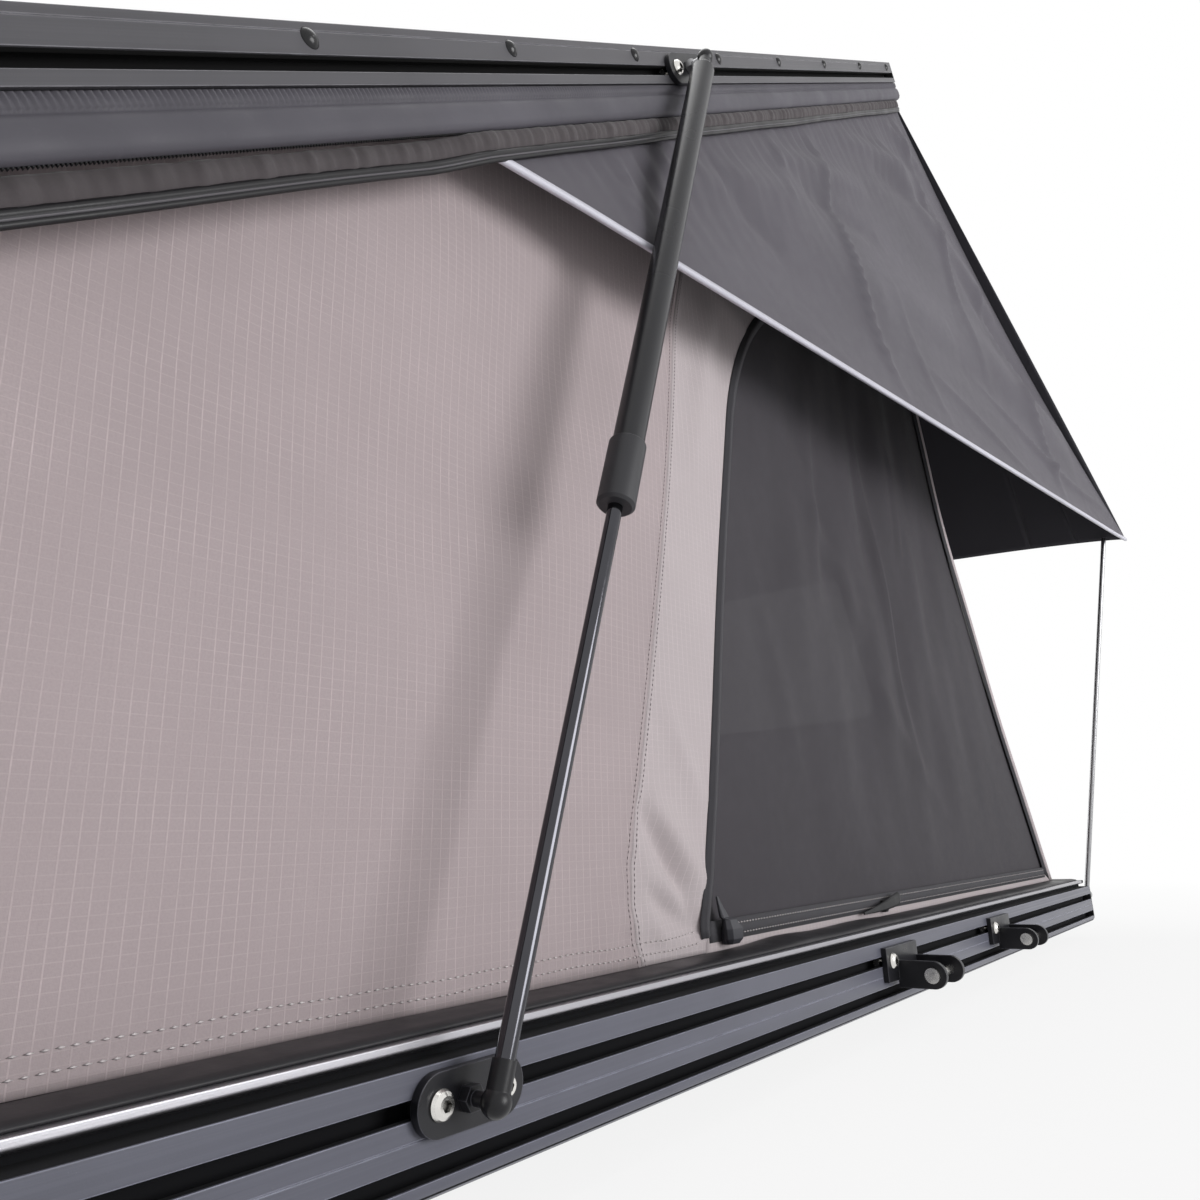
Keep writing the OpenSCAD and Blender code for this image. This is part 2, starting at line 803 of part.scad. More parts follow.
module strut_upper_bolts() {
    color([0.78, 0.78, 0.80]) in_lid() both_sides()
        for (dx = upper_bolt_dx) slot_bolt(strut_lid_u + dx, strut_lid_v);
}

// Ladder brackets

module ladder_ear(x) {
    translate([x, -half_w - plate_t, 0]) mirror([0, 1, 0]) rotate([90, 0, 90])
        linear_extrude(ear_t) difference() {
            union() {
                translate([-cut, ladder_z - ear_r]) square([ladder_reach + cut, 2 * ear_r]);
                translate([ladder_reach, ladder_z]) circle(ear_r);
            }
            translate([ladder_reach, ladder_z]) circle(ladder_pin_d / 2 + fit);
        }
}

module ladder_brackets() {
    span = ladder_gap + 2 * ear_t;
    color([0.05, 0.05, 0.055]) in_base() for (i = [0, 1]) translate([i * ladder_pitch, 0, 0]) {
        difference() {
            translate([ladder_x - ladder_tab, -half_w - plate_t, -slot_1_z - ladder_plate_h + 12])
                cube([ladder_tab + span, plate_t, ladder_plate_h]);
            cross_pin(ladder_x - ladder_tab / 2, -slot_1_z, -plate_t - cut, cut, bolt_r + fit);
        }
        ladder_ear(ladder_x);
        ladder_ear(ladder_x + ladder_gap + ear_t);
    }
}

module ladder_pins() {
    span = ladder_gap + 2 * ear_t;
    head_h = 4;
    color([0.78, 0.78, 0.80]) in_base() for (i = [0, 1])
        translate([ladder_x + i * ladder_pitch, ladder_pin_y, ladder_z]) rotate([0, 90, 0]) {
            translate([0, 0, -head_h]) cylinder(h = head_h, r = ladder_pin_d * 0.85);
            cylinder(h = span + 1, r = ladder_pin_d / 2);
            translate([0, 0, span]) cylinder(h = 6, r = ladder_pin_d * 0.8, $fn = 6);
        }
}

// Lid

module lid_panel() {
    inset = skin_seat + gap;
    color([0.13, 0.13, 0.15]) in_lid() translate([frame_x0 + inset, -half_w + inset, lid_h - skin_t])
        cube([frame_len - 2 * inset, frame_w - 2 * inset, skin_t]);
}

module lid_rail_side(side) {
    color([0.13, 0.13, 0.15]) in_lid() on_side(side) difference() {
        union() {
            along_side(frame_x0, frame_x1) lid_profile();
            along_side(frame_x0 + rail_d + gap, frame_x1 - rail_d - gap) lid_ledge();
        }
        lid_screw_places() translate([0, 0, -cut]) cylinder(h = screw_len + cut + gap, r = screw_r + fit);
    }
}

module lid_rail_front() {
    color([0.13, 0.13, 0.15]) in_lid() {
        along_front(-half_w + rail_d, half_w - rail_d) lid_profile();
        along_front(-half_w + rail_d + lid_ledge_w + gap, half_w - rail_d - lid_ledge_w - gap) lid_ledge();
    }
}

module lid_rail_rear() {
    color([0.13, 0.13, 0.15]) in_lid() {
        along_rear(-half_w + rail_d, half_w - rail_d) lid_profile();
        along_rear(-half_w + rail_d + lid_ledge_w + gap, half_w - rail_d - lid_ledge_w - gap) lid_ledge();
    }
}

module lid_end_caps() {
    color([0.05, 0.05, 0.055]) in_lid() both_sides() {
        along_side(frame_x0 - wall, frame_x0) lid_outline();
        along_side(frame_x1, frame_x1 + wall) lid_outline();
    }
}

// Screw places on the left side: +Z runs into the rail
module lid_screw_places() {
    last = frame_x1 - screw_end;
    xs = [frame_x0 + screw_end, for (x = [screw_start:screw_pitch:last - screw_pitch / 2]) x, last];
    for (x = xs) translate([x, -half_w, screw_z]) rotate([-90, 0, 0]) children();
}

module lid_screws() {
    dome = 3;
    ball = (screw_head_r * screw_head_r + dome * dome) / (2 * dome);
    color([0.03, 0.03, 0.03]) in_lid() both_sides() lid_screw_places() {
        cylinder(h = screw_len, r = screw_r);
        translate([0, 0, -dome]) intersection() {
            cylinder(h = dome, r = screw_head_r);
            translate([0, 0, ball]) sphere(ball);
        }
    }
}

module lid_skirts() {
    color([0.16, 0.16, 0.17]) in_lid() {
        both_sides() along_side(frame_x0, frame_x1) skirt_profile();
        along_front(-half_w + skirt_end, half_w - skirt_end) skirt_profile();
    }
}

module headliner() {
    inset = rail_d + 2;
    color([0.35, 0.35, 0.37]) in_lid() translate([frame_x0 + inset, -half_w + inset, lid_ledge_z + wall])
        cube([frame_len - 2 * inset, frame_w - 2 * inset, liner_t]);
}

// Hinges

// Knuckles of one leaf: every second one, from first on
module knuckle_row(first) {
    step = hinge_len / knuckles;
    for (i = [first:2:knuckles - 1])
        translate([0, -hinge_len / 2 + i * step + knuckle_gap / 2, 0]) rotate([-90, 0, 0])
            cylinder(h = step - knuckle_gap, r = knuckle_r);
}

// Leaf against a rear face: a plate joined to its knuckles, on the side of the plane given by up
module hinge_leaf(first, up) {
    step = hinge_len / knuckles;
    plate_z = up > 0 ? knuckle_r + 1 : -knuckle_r - 1 - leaf_h;
    web_z = up > 0 ? 0 : -knuckle_r - 2;
    difference() {
        union() {
            knuckle_row(first);
            translate([hinge_gap - leaf_t, -hinge_len / 2, plate_z]) cube([leaf_t, hinge_len, leaf_h]);
            for (i = [first:2:knuckles - 1])
                translate([hinge_gap - leaf_t, -hinge_len / 2 + i * step + knuckle_gap / 2, web_z])
                    cube([leaf_t, step - knuckle_gap, knuckle_r + 2]);
        }
        translate([0, -hinge_len, 0]) rotate([-90, 0, 0])
            cylinder(h = 2 * hinge_len, r = hinge_pin_d / 2 + fit);
    }
}

module base_hinge_leaves() {
    color([0.3, 0.3, 0.31]) in_base() for (y = [-hinge_y, hinge_y]) translate([0, y, 0]) hinge_leaf(0, -1);
}

module lid_hinge_leaves() {
    color([0.3, 0.3, 0.31]) in_lid() for (y = [-hinge_y, hinge_y]) translate([0, y, 0]) hinge_leaf(1, 1);
}

module hinge_pins() {
    color([0.7, 0.7, 0.72]) in_base() for (y = [-hinge_y, hinge_y])
        translate([0, y - hinge_len / 2, 0]) rotate([-90, 0, 0]) cylinder(h = hinge_len, r = hinge_pin_d / 2);
}

// Latches

module latch_bases() {
    ear_y = latch_w / 2 + gap;
    color([0.6, 0.6, 0.62]) in_base() for (y = [-latch_y, latch_y]) translate([0, y, 0]) {
        translate([frame_x1, -ear_y - 6, latch_z - 16]) cube([latch_plate_t, 2 * ear_y + 12, 20]);
        for (y0 = [-ear_y - latch_ear_t, ear_y])
            translate([frame_x1, y0, latch_z - 8]) cube([latch_x - frame_x1 + 5, latch_ear_t, 12]);
        translate([latch_x, ear_y + latch_ear_t, latch_z]) rotate([90, 0, 0])
            cylinder(h = 2 * ear_y + 2 * latch_ear_t, r = latch_pin_r);
    }
}

// The lever hangs down when it is free, and its hook comes over the keeper when it is swung up
module latch_lever(side) {
    color([0.6, 0.6, 0.62]) in_base() on_side(side) translate([latch_x, -latch_y, latch_z]) difference() {
        union() {
            rotate([90, 0, 0]) translate([0, 0, -latch_w / 2]) cylinder(h = latch_w, r = lever_r);
            translate([-lever_r, -latch_w / 2, -latch_len]) cube([lever_t, latch_w, latch_len]);
            translate([-lever_r, -latch_w / 2, -latch_len - lever_t]) cube([hook_len, latch_w, lever_t]);
        }
        rotate([90, 0, 0]) translate([0, 0, -latch_w]) cylinder(h = 2 * latch_w, r = latch_pin_r + fit);
    }
}

module latch_keepers() {
    ledge_top = latch_z + latch_len - gap;
    color([0.6, 0.6, 0.62]) in_lid() for (y = [-latch_y, latch_y]) translate([frame_x1, y, 0]) {
        translate([0, -latch_w / 2, ledge_top - keeper_t]) cube([latch_plate_t, latch_w, keeper_h]);
        translate([0, -latch_w / 2, ledge_top - keeper_t]) cube([latch_x - frame_x1 - 1, latch_w, keeper_t]);
    }
}

// Hood props

module prop_brackets() {
    seat_x = frame_x1 + wall;
    reach = prop_x - seat_x;
    half_eye = prop_eye_w / 2;
    color([0.3, 0.3, 0.31]) in_base() both_sides() translate([seat_x, -prop_y, -slot_1_z]) rotate([0, 90, 0]) {
        translate([-12, -12, 0]) cube([24, 24, plate_t]);
        cylinder(h = reach - half_eye - gap, r = prop_eye_r - 1);
        cylinder(h = reach + half_eye + gap + 1, r = prop_pin_r);
        translate([0, 0, reach + half_eye + gap]) cylinder(h = 3, r = prop_eye_r - 1);
    }
}

module hood_prop(side) {
    color([0.5, 0.5, 0.52]) in_base() on_side(side) translate([prop_x, -prop_y, -slot_1_z]) difference() {
        union() {
            rotate([prop_swing, 0, 0]) rotate([0, prop_tilt, 0]) cylinder(h = prop_len, r = prop_r);
            rotate([0, 90, 0]) translate([0, 0, -prop_eye_w / 2]) cylinder(h = prop_eye_w, r = prop_eye_r);
        }
        rotate([0, 90, 0]) translate([0, 0, -prop_eye_w]) cylinder(h = 2 * prop_eye_w, r = prop_pin_r + fit);
    }
}

// Zip sliders

module zip_slider(side, x) {
    color([0.04, 0.04, 0.045]) in_base() on_side(side)
        translate([x - slider_l / 2, -canvas_y - gap, slider_z]) rotate([90, 0, 0]) linear_extrude(slider_t)
            polygon([[0, 0], [slider_l, 0], [slider_l * 0.62, slider_h], [slider_l * 0.3, slider_h]]);
}

base_floor_panel();
base_rail_side("left");  // base_rail_left
base_rail_side("right");  // base_rail_right
base_rail_front();
base_rail_rear();
base_end_caps();
mounting_track("left");  // mounting_track_left
mounting_track("right");  // mounting_track_right
track_bolts();
mattress();
canvas_side("left");  // canvas_left
canvas_side("right");  // canvas_right
canvas_front();
canvas_rear();
door_mesh("left");  // door_mesh_left
door_mesh("right");  // door_mesh_right
window_mesh_front();
hem_strips();
strut_lower_plates();
strut_lower_studs();
slot_bolts();
ladder_brackets();
ladder_pins();
base_hinge_leaves();
latch_bases();
prop_brackets();
lid_panel();
lid_rail_side("left");  // lid_rail_left
lid_rail_side("right");  // lid_rail_right
lid_rail_front();
lid_rail_rear();
lid_end_caps();
lid_screws();
lid_skirts();
headliner();
lid_hinge_leaves();
hinge_pins();
strut_upper_plates();
strut_upper_bolts();
latch_keepers();
hood();
strut_socket("left");  // strut_socket_left
strut_socket("right");  // strut_socket_right
strut_rod("left");  // strut_rod_left
strut_rod("right");  // strut_rod_right
strut_cylinder("left");  // strut_cylinder_left
strut_cylinder("right");  // strut_cylinder_right
strut_cap("left");  // strut_cap_left
strut_cap("right");  // strut_cap_right
strut_upper_stud("left");  // strut_upper_stud_left
strut_upper_stud("right");  // strut_upper_stud_right
latch_lever("left");  // latch_lever_left
latch_lever("right");  // latch_lever_right
hood_prop("left");  // hood_prop_left
hood_prop("right");  // hood_prop_right
zip_slider("left", slider_x[0]);  // zip_slider_left_rear
zip_slider("left", slider_x[1]);  // zip_slider_left_front
zip_slider("right", slider_x[0]);  // zip_slider_right_rear
zip_slider("right", slider_x[1]);  // zip_slider_right_front
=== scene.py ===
"""Looks of the roof top tent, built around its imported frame.

Lengths are millimetres of the hinge frame: x runs along the base from the hinge, z is up from the plane
where the lid meets the base, and the lid has u along itself and v off that plane. Blender gets metres.
"""

import json
import math

import bpy
import numpy as np
from mathutils import Matrix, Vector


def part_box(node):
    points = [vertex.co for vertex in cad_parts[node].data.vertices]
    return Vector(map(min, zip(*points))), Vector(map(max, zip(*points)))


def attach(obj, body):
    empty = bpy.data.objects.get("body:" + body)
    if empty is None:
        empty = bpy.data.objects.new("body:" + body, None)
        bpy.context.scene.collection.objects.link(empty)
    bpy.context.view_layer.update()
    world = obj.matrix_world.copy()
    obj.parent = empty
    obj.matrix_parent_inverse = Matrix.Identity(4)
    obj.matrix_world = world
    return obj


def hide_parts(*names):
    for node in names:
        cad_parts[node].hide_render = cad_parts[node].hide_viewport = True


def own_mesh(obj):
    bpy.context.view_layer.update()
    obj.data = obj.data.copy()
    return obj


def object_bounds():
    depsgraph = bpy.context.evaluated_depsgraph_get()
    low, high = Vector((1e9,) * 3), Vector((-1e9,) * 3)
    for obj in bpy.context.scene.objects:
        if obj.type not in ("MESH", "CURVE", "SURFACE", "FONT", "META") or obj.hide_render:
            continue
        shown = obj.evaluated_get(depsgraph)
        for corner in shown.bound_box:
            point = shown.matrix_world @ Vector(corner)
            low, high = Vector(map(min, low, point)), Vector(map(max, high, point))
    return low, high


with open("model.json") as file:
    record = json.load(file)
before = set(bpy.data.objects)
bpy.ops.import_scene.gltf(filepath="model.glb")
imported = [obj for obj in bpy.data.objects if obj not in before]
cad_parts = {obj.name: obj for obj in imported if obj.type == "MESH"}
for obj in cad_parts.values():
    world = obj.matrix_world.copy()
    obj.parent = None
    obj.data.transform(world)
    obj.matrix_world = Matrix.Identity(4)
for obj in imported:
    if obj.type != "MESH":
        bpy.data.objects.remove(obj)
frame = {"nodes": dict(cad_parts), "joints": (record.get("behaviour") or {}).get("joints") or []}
cad_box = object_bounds()
nodes = frame["nodes"]

# Frames

MM = 0.001
lid_hinge = next(j for j in frame["joints"] if j["name"] == "lid_hinge")
hinge_at = np.array(lid_hinge["pos_m"])
open_angle = math.radians(lid_hinge["range_deg"][1])
cos_open = math.cos(open_angle)
sin_open = math.sin(open_angle)
rise = math.tan(open_angle)
lid_normal = np.array([-sin_open, 0.0, cos_open])


def place(x, y, z):
    """Points of the hinge frame as row-frame metres."""
    return np.stack(np.broadcast_arrays(x, y, z), axis=-1) * MM + hinge_at


def lid_xz(u, v):
    """The x and z of points of the open lid."""
    return u * cos_open - v * sin_open, u * sin_open + v * cos_open


def place_lid(u, y, v):
    """Points of the open lid's frame as row-frame metres."""
    u, y, v = np.broadcast_arrays(u, y, v)
    x, z = lid_xz(u, v)
    return place(x, y, z)


def node_box(name):
    """Lowest and highest corner of a CAD node, in the hinge frame."""
    low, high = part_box(name)
    return (np.array(low) - hinge_at) / MM, (np.array(high) - hinge_at) / MM


# Sizes

rail_low, rail_high = node_box("base_rail_left")
half_w = -rail_low[1]
frame_x0 = rail_low[0]
frame_x1 = rail_high[0]
rail_d = 34
lip_h = 10
lid_rail_z = 30
canvas_inset = 50
canvas_y = half_w - canvas_inset
canvas_z = node_box("canvas_left")[0][2]
canvas_v = 39.7
canvas_x0 = frame_x0 + canvas_inset
canvas_x1 = frame_x1 - canvas_inset
front_top_x, front_top_z = lid_xz(canvas_x1, canvas_v)
rear_top_x, rear_top_z = lid_xz(canvas_x0, canvas_v)
front_slope = (canvas_x1 - front_top_x) / (front_top_z - canvas_z)
front_len = math.hypot(canvas_x1 - front_top_x, front_top_z - canvas_z)
cloth_t = 1.2
hood_cloth_t = 0.9
bead_z = 4.2
SIDES = {"left": -1, "right": 1}

# The seam down the side wall, from the hem up, as (x, z)
seam_points = [[919, canvas_z], [903, 60], [934, 188], [982, 399], [1011, 559], [1060, 720]]
seam_top_x = 1092
seam_points.append([seam_top_x, seam_top_x * rise + canvas_v / cos_open])

door_x = 1006
door_z = 22
door_lean = math.tan(math.radians(12))
door_drop = 208
door_margin = 24
door_r = 300
door_front_r = 60
door_low_r = 6
front_bow = 105
mesh_lap = 15
mesh_set = 2.5
tape_w = 13

up_front = front_len / (front_top_z - canvas_z)
window_low = (300 - canvas_z) * up_front
window_high = (940 - canvas_z) * up_front
window_half = 430

hood_u = frame_x1 - 11
hood_y = half_w - 14
hood_low_y = half_w + 149
hood_start = 894
hood_drop = 890
hood_top_v = lid_rail_z - 0.3
hood_root = hood_start - hood_top_v * (hood_u - hood_start) / hood_drop


def meet(p, d, q, e):
    """Where the line through p along d crosses the line through q along e."""
    step = np.linalg.solve(np.column_stack([d, -np.asarray(e)]), np.subtract(q, p))[0]
    return np.asarray(p, float) + step * np.asarray(d, float)


door_foot = [canvas_x1 - door_margin * math.hypot(1, front_slope), canvas_z]
door_top_at = [0, -door_drop / cos_open]
door_rear_dir = [door_lean, 1]
door_front_dir = [-front_slope, 1]
door_corners = np.array([
    [door_x, door_z],
    meet([door_x, door_z], door_rear_dir, door_top_at, [1, rise]),
    meet(door_foot, door_front_dir, door_top_at, [1, rise]),
    meet(door_foot, door_front_dir, [0, door_z], [1, 0]),
])


def rounded(corners, radii, steps=16):
    """A closed outline with an arc at each corner."""
    out = []
    count = len(corners)
    for i in range(count):
        before = corners[i - 1] - corners[i]
        after = corners[(i + 1) % count] - corners[i]
        before = before / np.linalg.norm(before)
        after = after / np.linalg.norm(after)
        half = math.acos(np.clip(before @ after, -1, 1)) / 2
        middle = (before + after) / np.linalg.norm(before + after)
        centre = corners[i] + middle * radii[i] / math.sin(half)
        start = corners[i] + before * radii[i] / math.tan(half) - centre
        end = corners[i] + after * radii[i] / math.tan(half) - centre
        a0 = math.atan2(start[1], start[0])
        turn = (math.atan2(end[1], end[0]) - a0 + math.pi) % (2 * math.pi) - math.pi
        angles = a0 + turn * np.linspace(0, 1, steps)
        out.extend(centre + radii[i] * np.column_stack([np.cos(angles), np.sin(angles)]))
    return np.array(out)


def runs_of(path):
    """Length along a path at each of its points."""
    return np.concatenate([[0], np.cumsum(np.linalg.norm(np.diff(path, axis=0), axis=1))])


def resample(path, step, closed=False):
    """Points at even spacing along a path."""
    path = np.asarray(path, float)
    if closed:
        path = np.vstack([path, path[:1]])
    run = runs_of(path)
    count = max(2, int(round(run[-1] / step)) + 1)
    at = np.linspace(0, run[-1], count)
    out = np.column_stack([np.interp(at, run, path[:, i]) for i in range(path.shape[1])])
    return out[:-1] if closed else out


def smooth_path(points, step):
    """A soft curve through a few points, by rounding off the even-spaced polyline."""
    line = resample(points, step)
    for _ in range(int(40 / step * 4)):
        line[1:-1] = (line[:-2] + 2 * line[1:-1] + line[2:]) / 4
    return line


def length_of(path):
    return np.linalg.norm(np.diff(path, axis=0), axis=1).sum()


# Meshes


def make_mesh(name, points, faces, uv=None, smooth=True):
    """A mesh object with its points in the row frame and its weave coordinates in metres."""
    mesh = bpy.data.meshes.new(name)
    mesh.from_pydata(np.asarray(points, float).reshape(-1, 3).tolist(), [], [list(map(int, f)) for f in faces])
    if uv is not None:
        layer = mesh.uv_layers.new(name="weave")
        corner = np.zeros(len(mesh.loops), np.int32)
        mesh.loops.foreach_get("vertex_index", corner)
        layer.data.foreach_set("uv", np.asarray(uv, np.float32).reshape(-1, 2)[corner].ravel())
    mesh.polygons.foreach_set("use_smooth", [smooth] * len(mesh.polygons))
    mesh.validate()
    mesh.update()
    obj = bpy.data.objects.new(name, mesh)
    bpy.context.scene.collection.objects.link(obj)
    return obj


def grid_faces(rows, cols, wrap_rows=False, wrap_cols=False):
    """Quads of a grid whose points are numbered row by row."""
    r = np.arange(rows if wrap_rows else rows - 1)[:, None]
    c = np.arange(cols if wrap_cols else cols - 1)[None]
    r2, c2 = (r + 1) % rows, (c + 1) % cols
    quads = np.stack(np.broadcast_arrays(r * cols + c, r * cols + c2, r2 * cols + c2, r2 * cols + c), axis=-1)
    return quads.reshape(-1, 4)


def tube_faces(rows, cols, closed_path=False):
    """Faces of a tube of rings, with ends unless its path is closed."""
    faces = grid_faces(rows, cols, closed_path, True).tolist()
    if not closed_path:
        faces += [list(range(cols))[::-1], list(range((rows - 1) * cols, rows * cols))]
    return faces


def pair(a, b):
    """Two arrays as the columns of one."""
    return np.stack(np.broadcast_arrays(a, b), axis=-1)


def grid(rows, cols):
    """Two arrays that run from 0 to 1 down the rows and along the columns."""
    return np.meshgrid(np.linspace(0, 1, rows), np.linspace(0, 1, cols), indexing="ij")


def panel_mesh(name, points, flat, flip=False):
    """A sheet from a grid of points and their places on the flat cloth."""
    faces = grid_faces(*points.shape[:2])
    return make_mesh(name, points, faces[:, ::-1] if flip else faces, flat * MM)


def thicken(obj, thickness, second_face=False):
    """Gives a sheet its thickness. Its back can have the second of its materials."""
    solid = obj.modifiers.new("thickness", "SOLIDIFY")
    solid.thickness = thickness * MM
    solid.offset = 0
    if second_face:
        solid.material_offset = 1
    return obj


def sweep(name, path, across, out, profile, closed_path=False):
    """A closed profile drawn in (across, out) carried along a path, in millimetre steps off row-frame points."""
    profile = np.asarray(profile, float) * MM
    across, out = np.broadcast_to(across, path.shape), np.broadcast_to(out, path.shape)
    rings = path[:, None] + across[:, None] * profile[None, :, :1] + out[:, None] * profile[None, :, 1:]
    faces = tube_faces(*rings.shape[:2], closed_path)
    return make_mesh(name, rings, faces, pair(runs_of(path)[:, None], runs_of(profile)[None]))


def unit(vectors):
    return vectors / np.maximum(np.linalg.norm(vectors, axis=-1, keepdims=True), 1e-12)


def tangents(path, closed=False):
    if closed:
        return unit(np.roll(path, -1, axis=0) - np.roll(path, 1, axis=0))
    return unit(np.gradient(path, axis=0))


class Thread:
    """Gathers rows of stitches into one mesh."""

    def __init__(self, length=3.4, width=0.8, height=0.55):
        self.length = length
        self.width = width
        self.height = height
        self.points = []
        self.faces = []

    def row(self, path, out, pitch):
        """Stitches along row-frame points, standing off along out."""
        both = np.hstack([path, np.broadcast_to(out, path.shape)])
        run = resample(both * [1, 1, 1, MM, MM, MM], pitch * MM)
        at, up = run[:, :3], unit(run[:, 3:])
        along = tangents(at)
        side = np.cross(up, along)
        for a, t, s, n in zip(at, along, side, up):
            first = len(self.points)
            half, wide, high = self.length / 2 * MM, self.width / 2 * MM, self.height * MM
            low = a + n * 0.1 * MM
            self.points += [low - t * half, low + s * wide, low + t * half, low - s * wide, a + n * high]
            ring = [first, first + 1, first + 2, first + 3]
            self.faces += [[ring[i], ring[(i + 1) % 4], first + 4] for i in range(4)]
            self.faces.append(ring[::-1])

    def make(self, name):
        return make_mesh(name, np.array(self.points), self.faces)


# Materials


def srgb(r, g, b):
    """Linear colour of an 8-bit screen colour."""
    def line(c):
        c = c / 255
        return c / 12.92 if c <= 0.04045 else ((c + 0.055) / 1.055) ** 2.4
    return (line(r), line(g), line(b), 1.0)


def scaled(colour, k):
    return tuple(min(1.0, c * k) for c in colour[:3]) + (1.0,)


def add_node(tree, kind, inputs=(), **settings):
    """Adds a node, sets its properties, and sets or links its inputs by number or name."""
    made = tree.nodes.new(kind)
    for key, value in settings.items():
        setattr(made, key, value)
    for key, value in dict(inputs).items():
        if isinstance(value, bpy.types.NodeSocket):
            tree.links.new(value, made.inputs[key])
        else:
            made.inputs[key].default_value = value
    return made


class Look:
    """A procedural material made of layers over one shader."""

    def __init__(self, name, roughness, metallic=0.0, **sockets):
        self.material = bpy.data.materials.new(name)
        self.material.use_nodes = True
        self.tree = self.material.node_tree
        self.shader = self.tree.nodes["Principled BSDF"]
        self.shader.inputs["Roughness"].default_value = roughness
        self.shader.inputs["Metallic"].default_value = metallic
        for key, value in sockets.items():
            self.shader.inputs[key.replace("_", " ")].default_value = value

    def node(self, kind, inputs=(), **settings):
        return add_node(self.tree, kind, inputs, **settings)

    def link(self, socket, name):
        self.tree.links.new(socket, self.shader.inputs[name])

    def coords(self, kind="Object", stretch=(1, 1, 1), turn=0.0):
        """Texture coordinates in metres, turned about Y and then divided by stretch."""
        source = self.node("ShaderNodeTexCoord").outputs[kind]
        mapping = self.node("ShaderNodeMapping", {"Vector": source, "Rotation": (0, turn, 0), "Scale": stretch},
                            vector_type="TEXTURE")
        return mapping.outputs["Vector"]

    def noise(self, coords, scale, detail=3.0, roughness=0.55):
        made = self.node("ShaderNodeTexNoise", {"Vector": coords, "Scale": scale, "Detail": detail,
                                                "Roughness": roughness})
        return made.outputs["Fac"]

    def span(self, value, low, high, to_low=0.0, to_high=1.0):
        made = self.node("ShaderNodeMapRange", {"Value": value, "From Min": low, "From Max": high,
                                                "To Min": to_low, "To Max": to_high})
        return made.outputs["Result"]

    def math(self, operation, a, b=0.0):
        return self.node("ShaderNodeMath", {0: a, 1: b}, operation=operation).outputs["Value"]

    def mix(self, factor, a, b):
        return self.node("ShaderNodeMix", {0: factor, 6: a, 7: b}, data_type="RGBA").outputs[2]

    def bump(self, height, distance):
        """Adds a height, in millimetres, on top of the bumps that are there."""
        before = self.shader.inputs["Normal"]
        made = self.node("ShaderNodeBump", {"Height": height, "Distance": distance * MM})
        if before.links:
            self.tree.links.new(before.links[0].from_socket, made.inputs["Normal"])
        self.tree.links.new(made.outputs["Normal"], before)

    def edges(self, radius):
        """Shades edges as if rounded to a radius in millimetres, and returns 1 on them, 0 on faces."""
        soft = self.node("ShaderNodeBevel", {"Radius": radius * MM}, samples=6).outputs["Normal"]
        face = self.node("ShaderNodeNewGeometry").outputs["Normal"]
        self.tree.links.new(soft, self.shader.inputs["Normal"])
        same = self.node("ShaderNodeVectorMath", {0: soft, 1: face}, operation="DOT_PRODUCT").outputs["Value"]
        return self.span(same, 0.80, 0.985, 1.0, 0.0)

    def within(self, coords, low, high):
        """1 inside a box of the coordinates, 0 outside it."""
        parts = self.node("ShaderNodeSeparateXYZ", {0: coords}).outputs
        inside = 1.0
        for part, least, most in zip(parts, low, high):
            above = self.math("GREATER_THAN", part, least)
            below = self.math("LESS_THAN", part, most)
            inside = self.math("MULTIPLY", inside, self.math("MULTIPLY", above, below))
        return inside

    def hollows(self, reach):
        """0 in hollows narrower than a reach in millimetres, 1 on open faces."""
        made = self.node("ShaderNodeAmbientOcclusion", {"Distance": reach * MM}, samples=8)
        return self.span(made.outputs["AO"], 0.25, 0.75)

    def mottle(self, colour, coords, scale, spread):
        """Colour that wanders by the given share."""
        fac = self.span(self.noise(coords, scale, 4.0), 0.3, 0.7)
        return self.mix(fac, scaled(colour, 1 - spread), scaled(colour, 1 + spread))

    def worn(self, coords, scale, low, high, least=0.0):
        """Roughness that wanders between two values and is nowhere under the least one."""
        wander = self.span(self.noise(coords, scale, 5.0), 0.3, 0.7, low, high)
        self.link(self.math("MAXIMUM", wander, least), "Roughness")


def coated_metal(name, colour, roughness, stretch, turn=0.0, bead=None, shade_box=None, edge_highlight=4.0):
    """Powder-coated extrusion: fine grain, faint lines along it, a painted highlight along its edges, a polished bead
    above a given height and painted shade, near black, inside the box of its slots."""
    look = Look(name, roughness, Specular_IOR_Level=0.3)
    highlit_edges = look.edges(1.0)
    plain = look.coords()
    along = look.coords(stretch=stretch, turn=turn)
    base = look.mottle(colour, plain, 9.0, 0.10)
    lines = look.noise(along, 1.0, 4.0)
    base = look.mix(look.span(lines, 0.45, 0.75, 0.0, 0.35), base, scaled(colour, 1.35))
    dust = look.span(look.noise(plain, 900.0, 2.0), 0.70, 0.78, 0.0, 0.18)
    base = look.mix(dust, base, scaled(colour, 2.4))
    # Painted highlight: the coat is lightened along its edges, in patches.
    highlight_breakup = look.span(look.noise(plain, 70.0, 4.0), 0.25, 0.6, 0.35, 1.0)
    base = look.mix(look.math("MULTIPLY", highlit_edges, highlight_breakup), base, scaled(colour, edge_highlight))
    # Painted shade: near black, and fully rough, inside the box of the slots.
    slot_shade = look.within(look.coords(turn=turn), *shade_box) if shade_box else 0.0
    if shade_box:
        base = look.mix(slot_shade, base, scaled(colour, 0.05))
    if bead:
        height = look.node("ShaderNodeSeparateXYZ", {0: plain}).outputs[2]
        on_bead = look.math("GREATER_THAN", height, bead)
        base = look.mix(on_bead, base, srgb(172, 171, 176))
        look.link(on_bead, "Metallic")
    look.link(base, "Base Color")
    look.worn(along, 1.0, roughness - 0.07, roughness + 0.09, slot_shade)
    look.bump(look.noise(plain, 1400.0, 2.0), 0.03)
    look.bump(lines, 0.02)
    return look.material


